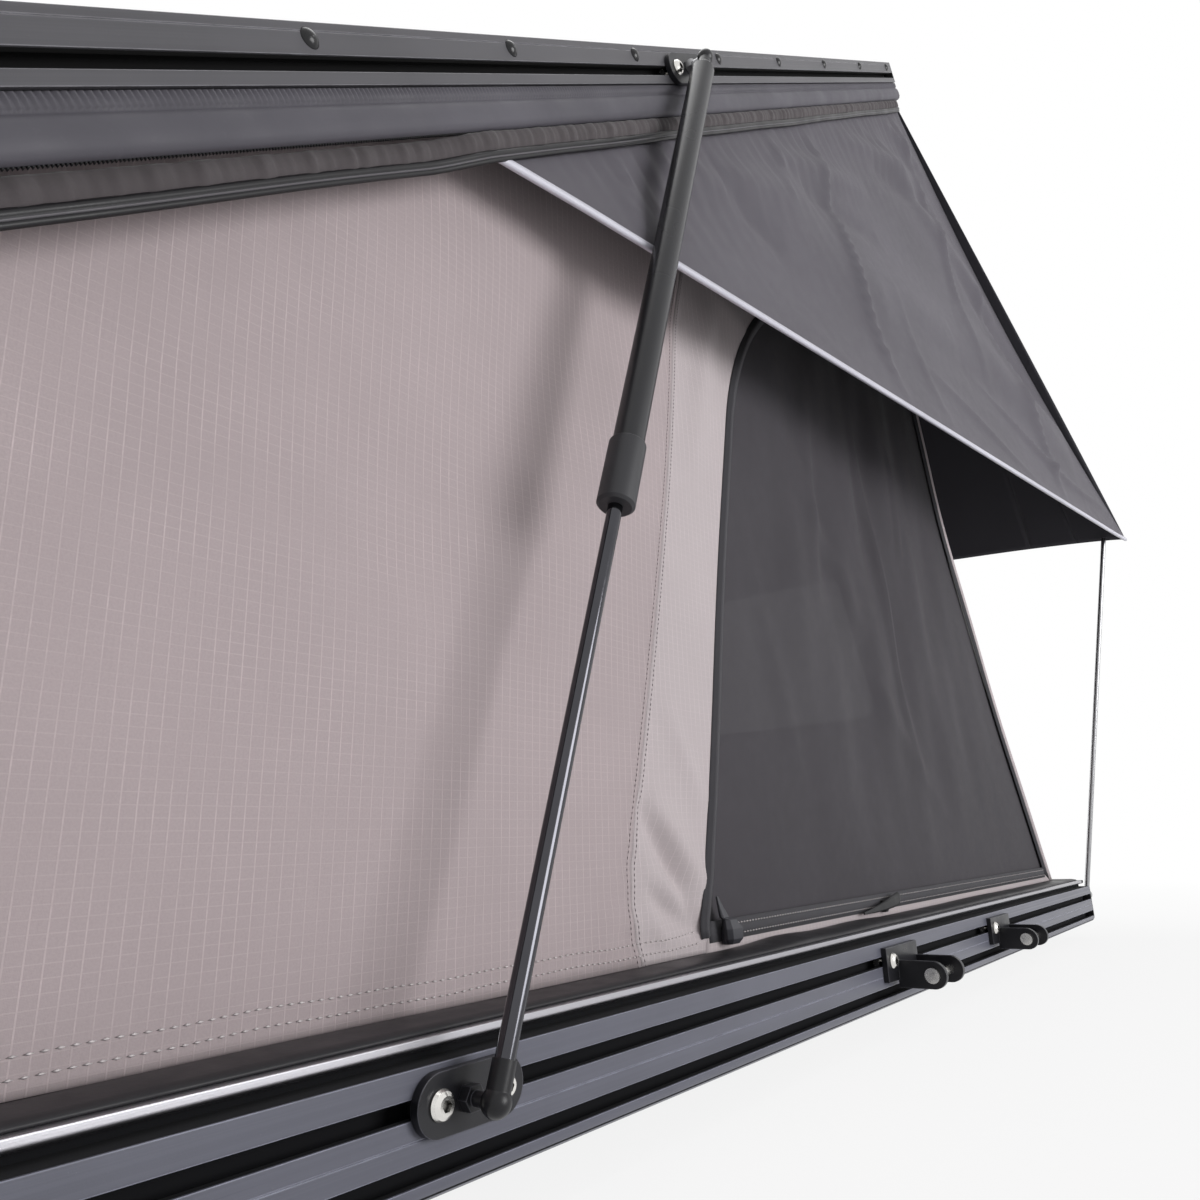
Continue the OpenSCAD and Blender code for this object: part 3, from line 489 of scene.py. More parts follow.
def plain_metal(name, colour, roughness, stretch, scratch=0.02, hollow_shade=0.0):
    """Bare or plated metal with fine brush lines and wear, and painted shade in hollows narrower than the hollow
    shade's reach.
    """
    look = Look(name, roughness, metallic=1.0)
    along = look.coords(stretch=stretch)
    base = look.mottle(colour, look.coords(), 30.0, 0.07)
    # Painted shade: near black in hollows, found by ambient occlusion.
    if hollow_shade:
        base = look.mix(look.hollows(hollow_shade), scaled(colour, 0.03), base)
    look.link(base, "Base Color")
    look.worn(along, 1.0, roughness * 0.8, roughness * 1.3)
    look.bump(look.noise(along, 1.0, 6.0), scratch)
    return look.material


def moulded(name, colour, roughness, grain=700.0, depth=0.05):
    """Moulded plastic or rubber with a fine spark-eroded grain and a painted highlight along its edges."""
    look = Look(name, roughness, Specular_IOR_Level=0.28)
    highlit_edges = look.edges(0.7)
    plain = look.coords()
    base = look.mottle(colour, plain, 14.0, 0.10)
    # Painted highlight: the plastic is lightened along its edges.
    base = look.mix(look.math("MULTIPLY", highlit_edges, 0.5), base, scaled(colour, 2.6))
    scuff = look.span(look.noise(plain, 55.0, 6.0, 0.7), 0.62, 0.80, 0.0, 0.3)
    look.link(look.mix(scuff, base, scaled(colour, 1.7)), "Base Color")
    look.worn(plain, 40.0, roughness - 0.06, roughness + 0.08)
    look.bump(look.noise(plain, grain, 3.0), depth)
    return look.material


def thread_lines(look, axis, pitch, width):
    """1 on evenly spaced lines across a weave axis, 0 between them."""
    off = look.math("PINGPONG", look.math("MULTIPLY", axis, 1 / (pitch * MM)), 0.5)
    return look.span(off, width / pitch * 0.35, width / pitch * 0.75, 1.0, 0.0)


def woven(name, colour, roughness, thread=0.5, mottle=0.06, grid_pitch=0.0, grid_lift=1.25, sheen=0.2, slub=0.0):
    """Cloth with yarns at their real pitch, and a ripstop grid where it has one."""
    look = Look(name, roughness, Sheen_Weight=sheen, Sheen_Roughness=0.5, Specular_IOR_Level=0.15)
    uv = look.coords("UV")
    parts = look.node("ShaderNodeSeparateXYZ", {0: uv})
    warp, weft = parts.outputs[0], parts.outputs[1]
    base = look.mottle(colour, uv, 5.0, mottle)
    fine = look.span(look.noise(uv, 900.0, 2.0), 0.3, 0.7)
    base = look.mix(look.math("MULTIPLY", fine, 0.5), base, scaled(colour, 0.86))
    if slub:
        streaks = look.noise(look.coords("UV", stretch=(0.0012, 0.05, 1)), 1.0, 3.0)
        base = look.mix(look.span(streaks, 0.55, 0.75, 0.0, slub), base, scaled(colour, 0.72))
    if grid_pitch:
        wander = look.span(look.noise(uv, 24.0, 2.0), 0.3, 0.7, 0.3, 0.95)
        broken = look.span(look.noise(look.coords("UV", stretch=(0.3, 0.004, 1)), 1.0, 2.0), 0.3, 0.7, 0.45, 1.0)
        up = look.math("MULTIPLY", thread_lines(look, warp, grid_pitch, 0.62), broken)
        level = thread_lines(look, weft, grid_pitch * 0.75, 0.5)
        lines = look.math("MAXIMUM", up, look.math("MULTIPLY", level, 0.32))
        base = look.mix(look.math("MULTIPLY", lines, wander), base, scaled(colour, grid_lift))
        look.bump(lines, 0.10)
    look.link(base, "Base Color")
    yarn = look.math("MULTIPLY", thread_lines(look, warp, thread, thread), thread_lines(look, weft, thread, thread))
    look.bump(yarn, 0.06)
    look.worn(uv, 60.0, roughness - 0.05, roughness + 0.05)
    return look


def netting(name, colour, alpha):
    """Fine insect mesh that lets some of the inside show."""
    look = woven(name, colour, 0.7, thread=0.9, mottle=0.10, sheen=0.1)
    look.shader.inputs["Alpha"].default_value = alpha
    return look.material


def thread_look(name, colour):
    look = Look(name, 0.6, Sheen_Weight=0.3)
    plain = look.coords()
    look.link(look.mottle(colour, plain, 400.0, 0.18), "Base Color")
    look.bump(look.noise(plain, 2500.0, 2.0), 0.08)
    return look.material


def vinyl(name, colour, roughness, grain=420.0, depth=0.07):
    """Coated cloth with a soft leathery grain."""
    look = Look(name, roughness, Specular_IOR_Level=0.3)
    plain = look.coords()
    base = look.mottle(colour, plain, 8.0, 0.12)
    dust = look.span(look.noise(plain, 160.0, 5.0, 0.7), 0.60, 0.78, 0.0, 0.25)
    look.link(look.mix(dust, base, scaled(colour, 1.8)), "Base Color")
    look.worn(plain, 30.0, roughness - 0.08, roughness + 0.08)
    look.bump(look.noise(plain, grain, 3.0), depth)
    return look.material


RAIL = srgb(94, 95, 106)
LID_RAIL = srgb(78, 77, 81)
CANVAS = srgb(177, 164, 166)
bead_height = float(hinge_at[2]) + bead_z * MM
side_run = (0.9, 0.0012, 0.0012)
cross_run = (0.0012, 0.9, 0.0012)
# Boxes round the rails' slots, and on the base the channel under the bead, where the coat is painted near black as
# shade.
slot_reach = 1.4
slot_floor = 3
base_low = place(frame_x0 + slot_reach, slot_reach - half_w, rail_low[2] + slot_floor)
base_high = place(frame_x1 - slot_reach, half_w - slot_reach, bead_z)
base_shade_box = (base_low.tolist(), base_high.tolist())
lid_shift = np.array([hinge_at[0] * cos_open + hinge_at[2] * sin_open, 0.0,
                      hinge_at[2] * cos_open - hinge_at[0] * sin_open])
lid_low = lid_shift + np.array([frame_x0 + slot_reach, slot_reach - half_w, lid_rail_z + slot_floor]) * MM
lid_high = lid_shift + np.array([frame_x1 - slot_reach, half_w - slot_reach, lid_rail_z + 24]) * MM
lid_shade_box = (lid_low.tolist(), lid_high.tolist())
rail_x = coated_metal("rail_coat_side", RAIL, 0.34, side_run, bead=bead_height, shade_box=base_shade_box)
rail_y = coated_metal("rail_coat_cross", RAIL, 0.34, cross_run, bead=bead_height, shade_box=base_shade_box)
lid_rail_x = coated_metal("lid_coat_side", LID_RAIL, 0.40, side_run, -open_angle, shade_box=lid_shade_box)
lid_rail_y = coated_metal("lid_coat_cross", LID_RAIL, 0.40, cross_run, -open_angle, shade_box=lid_shade_box)
lid_skin = coated_metal("lid_skin_coat", srgb(60, 60, 63), 0.50, side_run, -open_angle)
# The plates' edges get a strong painted highlight.
plate_coat = coated_metal("plate_coat", srgb(30, 30, 34), 0.34, (0.02, 0.02, 0.02), edge_highlight=9.0)
floor_look = coated_metal("floor_panel_coat", srgb(72, 72, 75), 0.6, (0.02, 0.02, 0.02))
track_look = plain_metal("track_anodised", srgb(176, 177, 180), 0.34, side_run)
stainless_look = plain_metal("stainless_steel", srgb(222, 220, 216), 0.22, (0.004, 0.004, 0.004), scratch=0.01,
                             hollow_shade=5)
spring_look = plain_metal("spring_steel", srgb(150, 150, 152), 0.30, (0.004, 0.004, 0.05))
rod_look = plain_metal("rod_black_chrome", srgb(74, 74, 78), 0.12, (0.3, 0.3, 0.002), scratch=0.004)
tube_look = coated_metal("tube_paint", srgb(42, 42, 45), 0.30, (0.3, 0.3, 0.3))
plastic_look = moulded("black_plastic", srgb(30, 30, 32), 0.48)
cap_look = moulded("strut_cap_plastic", srgb(56, 56, 59), 0.42)
socket_look = moulded("strut_socket_plastic", srgb(28, 28, 31), 0.34)
pull_look = moulded("zip_pull_plastic", srgb(62, 62, 67), 0.40)
screw_look = moulded("black_screw", srgb(34, 34, 36), 0.22, grain=300.0, depth=0.02)
canvas_look = woven("ripstop_canvas", CANVAS, 0.82, thread=0.55, grid_pitch=7.2, grid_lift=1.32, slub=0.12)
canvas_pale_look = woven("ripstop_canvas_pale", srgb(190, 180, 182), 0.82, thread=0.55, grid_pitch=7.2, slub=0.12)
hood_look = woven("hood_cloth", srgb(89, 86, 93), 0.62, thread=0.5, mottle=0.12, sheen=0.1)
# The hood's inside: a darker copy of the hood cloth, painted shade.
hood_inside_shade_look = woven("hood_inside_painted_shade", srgb(58, 57, 62), 0.55, thread=0.5, mottle=0.10, sheen=0.0)
band_look = woven("ruched_cloth", srgb(80, 75, 77), 0.8, thread=0.5, mottle=0.2)
net_look = netting("insect_mesh", srgb(67, 64, 69), 0.90)
tape_look = woven("zip_tape", srgb(70, 69, 73), 0.7, thread=0.8, mottle=0.1, sheen=0.1)
binding_cloth_look = woven("corner_binding", srgb(30, 29, 32), 0.6, thread=0.7, mottle=0.12, sheen=0.1)
mattress_look = woven("mattress_cover", srgb(118, 118, 122), 0.85, thread=0.9, mottle=0.08)
felt_look = woven("headliner_felt", srgb(96, 96, 100), 0.95, thread=2.0, mottle=0.12, sheen=0.4)
piping_look = vinyl("reflective_piping", srgb(200, 199, 209), 0.42, grain=900.0, depth=0.03)
binding_look = vinyl("black_binding", srgb(22, 21, 24), 0.40, grain=700.0)
piped_look = vinyl("grey_piping", srgb(88, 86, 90), 0.44, grain=900.0, depth=0.03)
welt_look = vinyl("hem_vinyl", srgb(35, 34, 37), 0.46)
skirt_look = vinyl("skirt_vinyl", srgb(80, 78, 85), 0.60, grain=600.0, depth=0.04)
coil_look = moulded("zip_coil", srgb(22, 22, 24), 0.35)
pale_thread = thread_look("pale_thread", srgb(214, 206, 207))
dark_thread = thread_look("dark_thread", srgb(112, 102, 104))

# CAD nodes by look, where * stands for left and right
NODE_LOOKS = {
    rail_x: ["base_rail_*"],
    rail_y: ["base_rail_front", "base_rail_rear"],
    lid_rail_x: ["lid_rail_*"],
    lid_rail_y: ["lid_rail_front", "lid_rail_rear"],
    lid_skin: ["lid_panel"],
    floor_look: ["base_floor_panel"],
    track_look: ["mounting_track_*"],
    plastic_look: ["base_end_caps", "lid_end_caps", "latch_bases", "latch_keepers", "latch_lever_*"],
    stainless_look: ["track_bolts", "slot_bolts", "ladder_pins", "strut_upper_bolts", "hinge_pins"],
    plate_coat: ["strut_lower_plates", "strut_upper_plates", "ladder_brackets", "base_hinge_leaves",
                 "lid_hinge_leaves", "prop_brackets", "strut_lower_studs"],
    screw_look: ["lid_screws"],
    socket_look: ["strut_socket_*"],
    rod_look: ["strut_rod_*"],
    tube_look: ["strut_cylinder_*"],
    cap_look: ["strut_cap_*"],
    spring_look: ["strut_upper_stud_*", "hood_prop_*"],
}
for look, names in NODE_LOOKS.items():
    for name in sorted({name.replace("*", side) for name in names for side in SIDES}):
        nodes[name].data.materials.clear()
        nodes[name].data.materials.append(look)


def dress(obj, look, body, fold_axis=None, anchor=None, back=None):
    """Gives a piece its materials and body, and a mesh of its own when it has a fold axis."""
    for one in filter(None, (look, back)):
        obj.data.materials.append(one.material if isinstance(one, Look) else one)
    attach(obj, body)
    if fold_axis is not None:
        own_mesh(obj)
    return obj


wall_anchor = place(0, 0, canvas_z + 1)
lid_anchor = place_lid(0, 0, 20)


def dress_wall(obj, look):
    """A piece of the walls, carried by the base."""
    return dress(obj, look, "base", (0, 0, 1), wall_anchor)


def dress_lid_cloth(obj, look):
    """A soft piece under the lid, carried by the lid."""
    return dress(obj, look, "lid", lid_normal, lid_anchor)


# Side walls


def crease(x, z, start, end, width, height, sharp=1.0):
    """A fold of the given height along a line, fading at its ends."""
    start, end = np.array(start, float), np.array(end, float)
    line = end - start
    length = np.linalg.norm(line)
    line = line / length
    along = ((x - start[0]) * line[0] + (z - start[1]) * line[1]) / length
    off = np.abs((x - start[0]) * line[1] - (z - start[1]) * line[0]) / width
    fade = np.sin(np.pi * np.clip(along, 0, 1)) ** 0.6
    return height * fade * np.exp(-off ** (2 / sharp))


def creased(x, z, table):
    """All the folds of a table of start, end, width, height and, where it isn't 1, sharpness."""
    return sum(crease(x, z, *row) for row in table)


def ripple(x, z, angle, length, phase):
    """A long soft wave across the cloth."""
    across = x * math.cos(angle) + z * math.sin(angle)
    return np.sin(2 * np.pi * across / length + phase)


seam_line = smooth_path(seam_points, 6)


def seam_x(z):
    return np.interp(z, seam_line[:, 1], seam_line[:, 0])


WALL_CREASES = [
    ((920, 128), (1002, 28), 9, -7.5, 1.2),
    ((934, 132), (1008, 60), 12, 6.5),
    ((926, 62), (1000, 26), 8, -5.4, 1.2),
    ((920, 82), (996, 44), 9, 4.4),
    ((960, 205), (1012, 120), 12, 4.0),
    ((1090, 640), (1026, 410), 18, 5.0),
    ((1052, 660), (1160, 622), 14, 4.4),
    ((1120, 800), (1230, 700), 16, 3.0),
    ((905, 70), (870, 20), 10, 2.4),
    ((925, 60), (955, 18), 8, 2.2),
    ((960, 650), (690, 240), 52, -6.0),
    ((1010, 560), (800, 220), 44, 4.0),
    ((760, 60), (560, 330), 60, 3.0),
    ((620, 420), (880, 560), 70, 3.0),
    ((420, 60), (560, 300), 50, 2.6),
]


def wall_relief(x, z):
    """How far the side wall stands out of its plane."""
    top = x * rise + canvas_v / cos_open
    up = np.clip((z - canvas_z) / np.maximum(top - canvas_z, 1), 0, 1)
    to_front = canvas_x1 - (z - canvas_z) * front_slope - x
    held = np.sin(np.pi * up)
    out = 5 * held - 14 * held * np.exp(-np.maximum(to_front, 0) / 240)
    out = out + 1.6 * held * ripple(x, z, 0.5, 420, 0.4) + 1.1 * held * ripple(x, z, -0.9, 310, 2.0)
    edge = np.clip(up / 0.02, 0, 1) * np.clip((1 - up) / 0.03, 0, 1)
    out = out + edge * creased(x, z, WALL_CREASES)
    off_seam = np.abs(x - seam_x(z))
    gathers = np.exp(-off_seam / 26) * np.exp(-np.maximum(z - 12, 0) / 60)
    out = out + edge * 1.5 * gathers * np.sin(z / 4.2 + x / 19)
    pull = np.exp(-(top - z) / 45)
    out = out + edge * 0.9 * pull * np.sin(x / 5.1 + 2 * np.sin(x / 61))
    out = out + 0.9 * np.clip((8 - off_seam) / 2, 0, 1)
    return out


def bow_in(x, z):
    """How far a point of the wall is drawn back by the bowed front corner."""
    up = np.clip((z - canvas_z) / (front_top_z - canvas_z), 0, 1)
    rear = door_x + (z - door_z) * door_lean
    front = canvas_x1 - (z - canvas_z) * front_slope
    return front_bow * np.sin(np.pi * up) * np.clip((x - rear) / (front - rear), 0, 1.1) ** 1.4


def on_wall(x, z, side, out=0.0):
    """Points on the side wall, standing out by the given amount."""
    return place(x - bow_in(x, z), side * (canvas_y + wall_relief(x, z) + out), z)


corner_steps = 16
door_arcs = rounded(door_corners, [door_low_r, door_r, door_front_r, door_low_r], corner_steps)


def quarters(arcs):
    """The four runs of a rounded outline, each from the middle of one corner to the middle of the next."""
    middle = corner_steps // 2
    doubled = np.vstack([arcs, arcs])
    return [doubled[i * corner_steps + middle:(i + 1) * corner_steps + middle + 1] for i in range(4)]


def strip_of_cloth(name, one, other, rows, cols, to_points, look, flip=False):
    """A canvas panel ruled between two edges drawn on the flat, with the flat as its weave coordinates."""
    one = resample(one, length_of(one) / (rows - 1))[:rows]
    other = resample(other, length_of(other) / (rows - 1))[:rows]
    s = np.linspace(0, 1, cols)[None, :, None]
    flat = (1 - s) * one[:, None] + s * other[:, None]
    obj = thicken(panel_mesh(name, to_points(flat[..., 0], flat[..., 1]), flat, flip), cloth_t)
    dress_wall(obj, look)
    return obj


NET_CREASES = [
    ((1500, 640), (1590, 150), 14, 9.0),
    ((1330, 660), (1300, 330), 18, 7.0),
    ((1640, 640), (1640, 460), 10, 6.5),
    ((1120, 420), (1230, 120), 16, 5.5),
    ((1210, 560), (1450, 330), 20, 6.0),
    ((1420, 300), (1700, 90), 18, 5.0),
]


def door_net(name, side):
    """The mesh of the door, a little slack, lapped behind the canvas."""
    low_rear, high_rear, high_front, low_front = door_corners
    t, s = (k[..., None] for k in grid(110, 130))
    lap = mesh_lap / 900
    t = -0.004 + t * (1 + lap)
    s = -lap + s * (1 + 2 * lap)
    flat = (1 - t) * ((1 - s) * low_rear + s * low_front) + t * ((1 - s) * high_rear + s * high_front)
    x, z = flat[..., 0], flat[..., 1]
    slack = np.sin(np.pi * np.clip(s[..., 0], 0, 1)) * np.sin(np.pi * np.clip(t[..., 0], 0, 1))
    fold = 4.0 * ripple(x, z, 0.25, 210, 0.3) + 2.2 * ripple(x, z, -0.35, 130, 1.2) + 0.9 * ripple(x, z, 0.1, 74, 0)
    out = slack * (fold + creased(x, z, NET_CREASES) - 6) - mesh_set
    return panel_mesh(name, on_wall(x, z, side, out), flat, side > 0)


tape_half = tape_w / 2
TAPE_PROFILE = [(-tape_half, 0), (-tape_half, 0.8), (-3.2, 1.0), (-2.2, 2.8), (0, 3.4), (2.2, 2.8), (3.2, 1.0),
                (tape_half, 0.8), (tape_half, 0)]
BINDING_PROFILE = [(-7, 0), (-7, 1.0), (-2, 1.6), (0, 3.0), (3, 2.6), (4, 0), (3, -3), (0, -1)]
BAND_PROFILE = [(-8, -0.6), (-8, 0.9), (0, 1.4), (8, 0.9), (8, -0.6)]


def wall_strip(name, side, x, z, out, across, profile):
    """A strip sewn on the side wall along points (x, z)."""
    return sweep(name, on_wall(x, z, side, out), across, [0.0, side, 0.0], profile)


def door_tape(name, side):
    """Zip tape up, over and down the door: a flat band with the coil along its middle."""
    run = resample(np.vstack(door_runs[:3]), 6)
    ahead = tangents(run)
    outward = np.column_stack([-ahead[:, 1], ahead[:, 0]])
    at = run + outward * 2
    across = np.column_stack([outward[:, 0], np.zeros(len(at)), outward[:, 1]])
    return wall_strip(name, side, at[:, 0], at[:, 1], 0.6, across, TAPE_PROFILE)


def corner_strip(name, side):
    """Binding down the corner between side and front walls."""
    z = np.linspace(canvas_z, front_top_z - 40, 90)
    x = canvas_x1 - (z - canvas_z) * front_slope
    return wall_strip(name, side, x - 2, z, 0.5, [1.0, 0.0, 0.0], BINDING_PROFILE)


def door_band(name, side):
    """Cloth band that ends the mesh at the door's foot."""
    x = np.linspace(door_x + 6, door_corners[3][0] - 4, 200)
    return wall_strip(name, side, x, np.full_like(x, door_z + 5.5), 0.0, [0.0, 0.0, 1.0], BAND_PROFILE)


seam_rows = [(seam_line[:, 0] + off, seam_line[:, 1]) for off in (-4.5, 4.5)]
hem_x = np.linspace(canvas_x0 + 30, door_x - 12, 300)
hem_sway = 0.5 * np.sin(hem_x / 31) + 0.3 * np.sin(hem_x / 12)
hem_rows = [(hem_x, z + 0.6 + hem_sway) for z in (20.0, 28.0)]
foot_x = np.linspace(door_x + 26, door_corners[3][0] - 12, 260)
foot_rows = [(foot_x, np.full_like(foot_x, z)) for z in (23.5, 31.5)]


def stitches(name, side, rows, out, pitch, **size):
    """Rows of stitching on the side wall, each along points (x, z)."""
    thread = Thread(**size)
    for x, z in rows:
        thread.row(on_wall(x, z, side, out), np.array([0.0, side, 0.0]), pitch)
    return thread.make(name)


door_runs = quarters(door_arcs)
lid_point = meet(door_corners[1], door_rear_dir, [0, canvas_v / cos_open], [1, rise])
sill_lap = 2
wall_edges = {
    "rear": (np.array([[canvas_x0, canvas_z], [rear_top_x, rear_top_z]]), seam_line, 110, 170),
    "door": (np.vstack([[[door_x, canvas_z]], door_runs[0]]), np.vstack([seam_line, [lid_point]]), 190, 30),
    "top": (door_runs[1], np.array([lid_point, [front_top_x, front_top_z]]), 150, 50),
    "front": (door_runs[2], np.array([[front_top_x, front_top_z], [canvas_x1, canvas_z]]), 150, 14),
    "sill": (door_runs[3], np.array([[canvas_x1, canvas_z], [door_x, canvas_z]]) - [0, sill_lap], 150, 6),
}

for side_name, side in SIDES.items():
    seam = stitches(f"wall_stitching_{side_name}", side, seam_rows, out=0.7, pitch=4.0)
    dress_wall(seam, dark_thread)
    foot = stitches(f"door_stitching_{side_name}", side, foot_rows, out=1.5, pitch=5.0, length=4.4, width=1.5,
                    height=0.7)
    dress_wall(foot, pale_thread)
    tape = dress_wall(door_tape(f"door_zip_{side_name}", side), tape_look)
    strip = dress_wall(corner_strip(f"corner_binding_{side_name}", side), canvas_pale_look)
    hem = stitches(f"hem_stitching_{side_name}", side, hem_rows, out=0.7, pitch=5.6, length=4.4, width=1.3,
                   height=0.7)
    dress_wall(hem, pale_thread)
    band = dress_wall(door_band(f"door_band_{side_name}", side), tape_look)
    panel_look = {"rear": canvas_look, "front": binding_cloth_look}
    for part, (one, other, rows, cols) in wall_edges.items():
        panel = strip_of_cloth(
            f"wall_{part}_{side_name}", one, other, rows, cols, lambda x, z: on_wall(x, z, side),
            panel_look.get(part, canvas_pale_look), flip=(side < 0) == (part == "rear"))
        if part == "rear":
            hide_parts(f"canvas_{side_name}")
    net = dress_wall(door_net(f"door_net_{side_name}", side), net_look)
    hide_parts(f"door_mesh_{side_name}")

# Front and rear walls

front_out = np.array([math.cos(math.atan(front_slope)), 0.0, math.sin(math.atan(front_slope))])


def front_relief(y, h):
    """How far the front wall stands out of its plane."""
    held = np.sin(np.pi * np.clip(h / front_len, 0, 1)) * np.cos(np.pi / 2 * np.clip(y / canvas_y, -1, 1)) ** 0.5
    wave = 2.2 * ripple(y, h, 0.3, 520, 0.5) + 1.4 * ripple(y, h, -0.8, 330, 1.1)
    return held * (4 + wave)


def on_front(y, h, out=0.0):
    """Points on the front wall, h up its slope."""
    up = h / front_len
    bow = np.sin(np.pi * np.clip(up, 0, 1))
    x = canvas_x1 + up * (front_top_x - canvas_x1) - front_bow * bow
    z = canvas_z + up * (front_top_z - canvas_z)
    drawn = y * (1 - 12 * bow / canvas_y)
    return place(x, drawn, z) + (front_relief(y, h) + out)[..., None] * MM * front_out


def upright_box(half, low, high):
    """Corners of a rectangle on the front wall, clockwise from its low left."""
    return np.array([[-half, low], [-half, high], [half, high], [half, low]], float)


window_arcs = rounded(upright_box(window_half, window_low, window_high), [40] * 4, corner_steps)
wall_half = canvas_y - 4
front_corners = upright_box(wall_half, 1, front_len - 1)
for i, part in enumerate(("left", "top", "right", "foot")):
    edge = np.array([front_corners[i], front_corners[(i + 1) % 4]])
    strip_of_cloth(f"wall_front_{part}_panel", quarters(window_arcs)[i], edge, rows=110, cols=40,
                                       to_points=on_front, look=canvas_look)
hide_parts("canvas_front")


def window_net():
    """Mesh of the front window, lapped behind its canvas."""
    t, s = grid(90, 110)
    y = (2 * s - 1) * (window_half + mesh_lap)
    h = window_low - mesh_lap + t * (window_high - window_low + 2 * mesh_lap)
    slack = np.sin(np.pi * s) * np.sin(np.pi * t)
    out = slack * (3 * ripple(y, h, 0.2, 260, 0) + 2 * ripple(y, h, 1.2, 170, 1) - 6) - mesh_set
    return panel_mesh("window_net", on_front(y, h, out), pair(y, h))


def window_tape():
    """Zip tape round the front window."""
    outline = resample(window_arcs, 8, closed=True)
    ahead = tangents(outline, closed=True)
    path = on_front(outline[:, 0], outline[:, 1], np.full(len(outline), 0.6))
    slope = np.array([-front_out[2], 0.0, front_out[0]])
    across = -ahead[:, 1:] * np.array([0.0, 1.0, 0.0]) + ahead[:, :1] * slope
    return sweep("window_zip", path, across, front_out, TAPE_PROFILE, closed_path=True)


window = dress_wall(window_net(), net_look)
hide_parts("window_mesh_front")
window_zip = dress_wall(window_tape(), tape_look)


def on_rear(y, h):
    """Points on the low wall at the hinge end."""
    share = np.clip(h / (rear_top_z - canvas_z), 0, 1)
    out = 2.5 * np.sin(np.pi * share) * (1 + 0.4 * np.sin(y / 37) + 0.3 * np.sin(y / 13))
    return place(canvas_x0 + share * (rear_top_x - canvas_x0) - out, y, canvas_z + h)


rear_low = np.array([[-wall_half, 0], [wall_half, 0]])
rear_high = rear_low + [0, rear_top_z - canvas_z]
rear_wall = strip_of_cloth("wall_hinge_end", rear_low, rear_high, rows=200, cols=14, to_points=on_rear,
                           look=canvas_look)
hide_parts("canvas_rear")

# Hem on the base lip


def hem_wave(x):
    """Lift of the hem strip where it buckles beside the door."""
    wave = 2.2 * np.exp(-((x - 1120) / 45) ** 2) + 1.6 * np.exp(-((x - 1290) / 60) ** 2) + 0.7 * np.sin(x / 83)
    return np.maximum(wave, 0)


def hem_welt():
    """Padded vinyl strip that clamps the canvas on the base's lip: four runs with mitred corners."""
    profile = np.array([(15.2, 0.2), (16, 2.0), (22, 3.0), (34, 3.4), (44, 3.6), (49, 2.8), (51, 0.4)])
    steps = np.arange(260)[:, None, None] / 260
    setback, height = profile[:, 0], profile[:, 1]
    corners = np.array([(frame_x0, -half_w), (frame_x1, -half_w), (frame_x1, half_w), (frame_x0, half_w)])
    inward = np.array([(1, 1), (-1, 1), (-1, -1), (1, -1)])
    starts = corners[:, None] + inward[:, None] * setback[None, :, None]
    runs = []
    for i in range(4):
        at = starts[i] + steps * (starts[(i + 1) % 4] - starts[i])
        lift = 0.5 if i % 2 else hem_wave(at[..., 0])
        runs.append(place(at[..., 0], at[..., 1], lip_h + height + lift * np.clip((setback - 15) / 10, 0, 1)))
    points = np.concatenate(runs)
    rows, cols = points.shape[:2]
    uv = pair(np.arange(rows)[:, None] * 0.006, np.arange(cols)[None] * 0.008)
    return make_mesh("hem_welt", points, tube_faces(rows, cols, closed_path=True), uv)


welt = dress(hem_welt(), welt_look, "base")
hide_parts("hem_strips")

# Skirt, ruched band and trim under the lid rail


def skirt_section(i, u):
    """Section of the vinyl skirt at length u, in (setback, v): ribbed band above, soft roll below."""
    rib = (0.0, 1.1, 1.1, 0.0)[i % 4]
    sag = 0.5 * math.sin(u / 150) + 0.3 * math.sin(u / 61)
    return [(7.0, 29.6), (2.6, 29.6), (1.2 - rib, 28.4), (0.8 - rib, 25.0), (1.0 - rib, 21.6), (2.0, 20.6),
            (0.6, 19.4), (-0.8, 16), (-1.4, 11 + 0.2 * sag), (-1.2, 6.5 + 0.3 * sag), (0.4, 3.0 + 0.3 * sag),
            (3.2, 1.6 + 0.3 * sag), (5.6, 2.0), (7.0, 4.0)]


def skirt_front_section(i, y):
    """The same section across the front, pressed in where it passes the base's end caps."""
    by_cap = abs(y) > half_w - rail_d - 2
    return [(max(w, 0.5), v) if by_cap and v < 12 else (w, v) for w, v in skirt_section(i, y)]


def lid_run(name, section, at, sections, closed=True):
    """Carries a section along a lid edge. at(u, w, v) gives the row-frame points."""
    rings = np.array([section(i, u) for i, u in enumerate(sections)])
    points = at(sections[:, None], rings[..., 0], rings[..., 1])
    faces = tube_faces(*rings.shape[:2]) if closed else grid_faces(*rings.shape[:2])
    return make_mesh(name, points, faces, pair(sections[:, None] * MM, runs_of(rings[0])[None] * MM))


def along_lid_side(side):
    return lambda u, w, v: place_lid(u, side * (half_w - w), v)


def along_lid_front(y, w, v):
    return place_lid(frame_x1 - w, y, v)


rib_step = 0.95
skirt_u = np.arange(frame_x0 + 4, frame_x1 - 0.5, rib_step)
skirt_cross = np.arange(-half_w + 8, half_w - 8, rib_step)
skirts = [lid_run(f"skirt_{n}", skirt_section, along_lid_side(side), skirt_u) for n, side in SIDES.items()]
skirts.append(lid_run("skirt_front", skirt_front_section, along_lid_front, skirt_cross))
for piece in skirts:
    dress(piece, skirt_look, "lid")
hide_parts("lid_skirts")


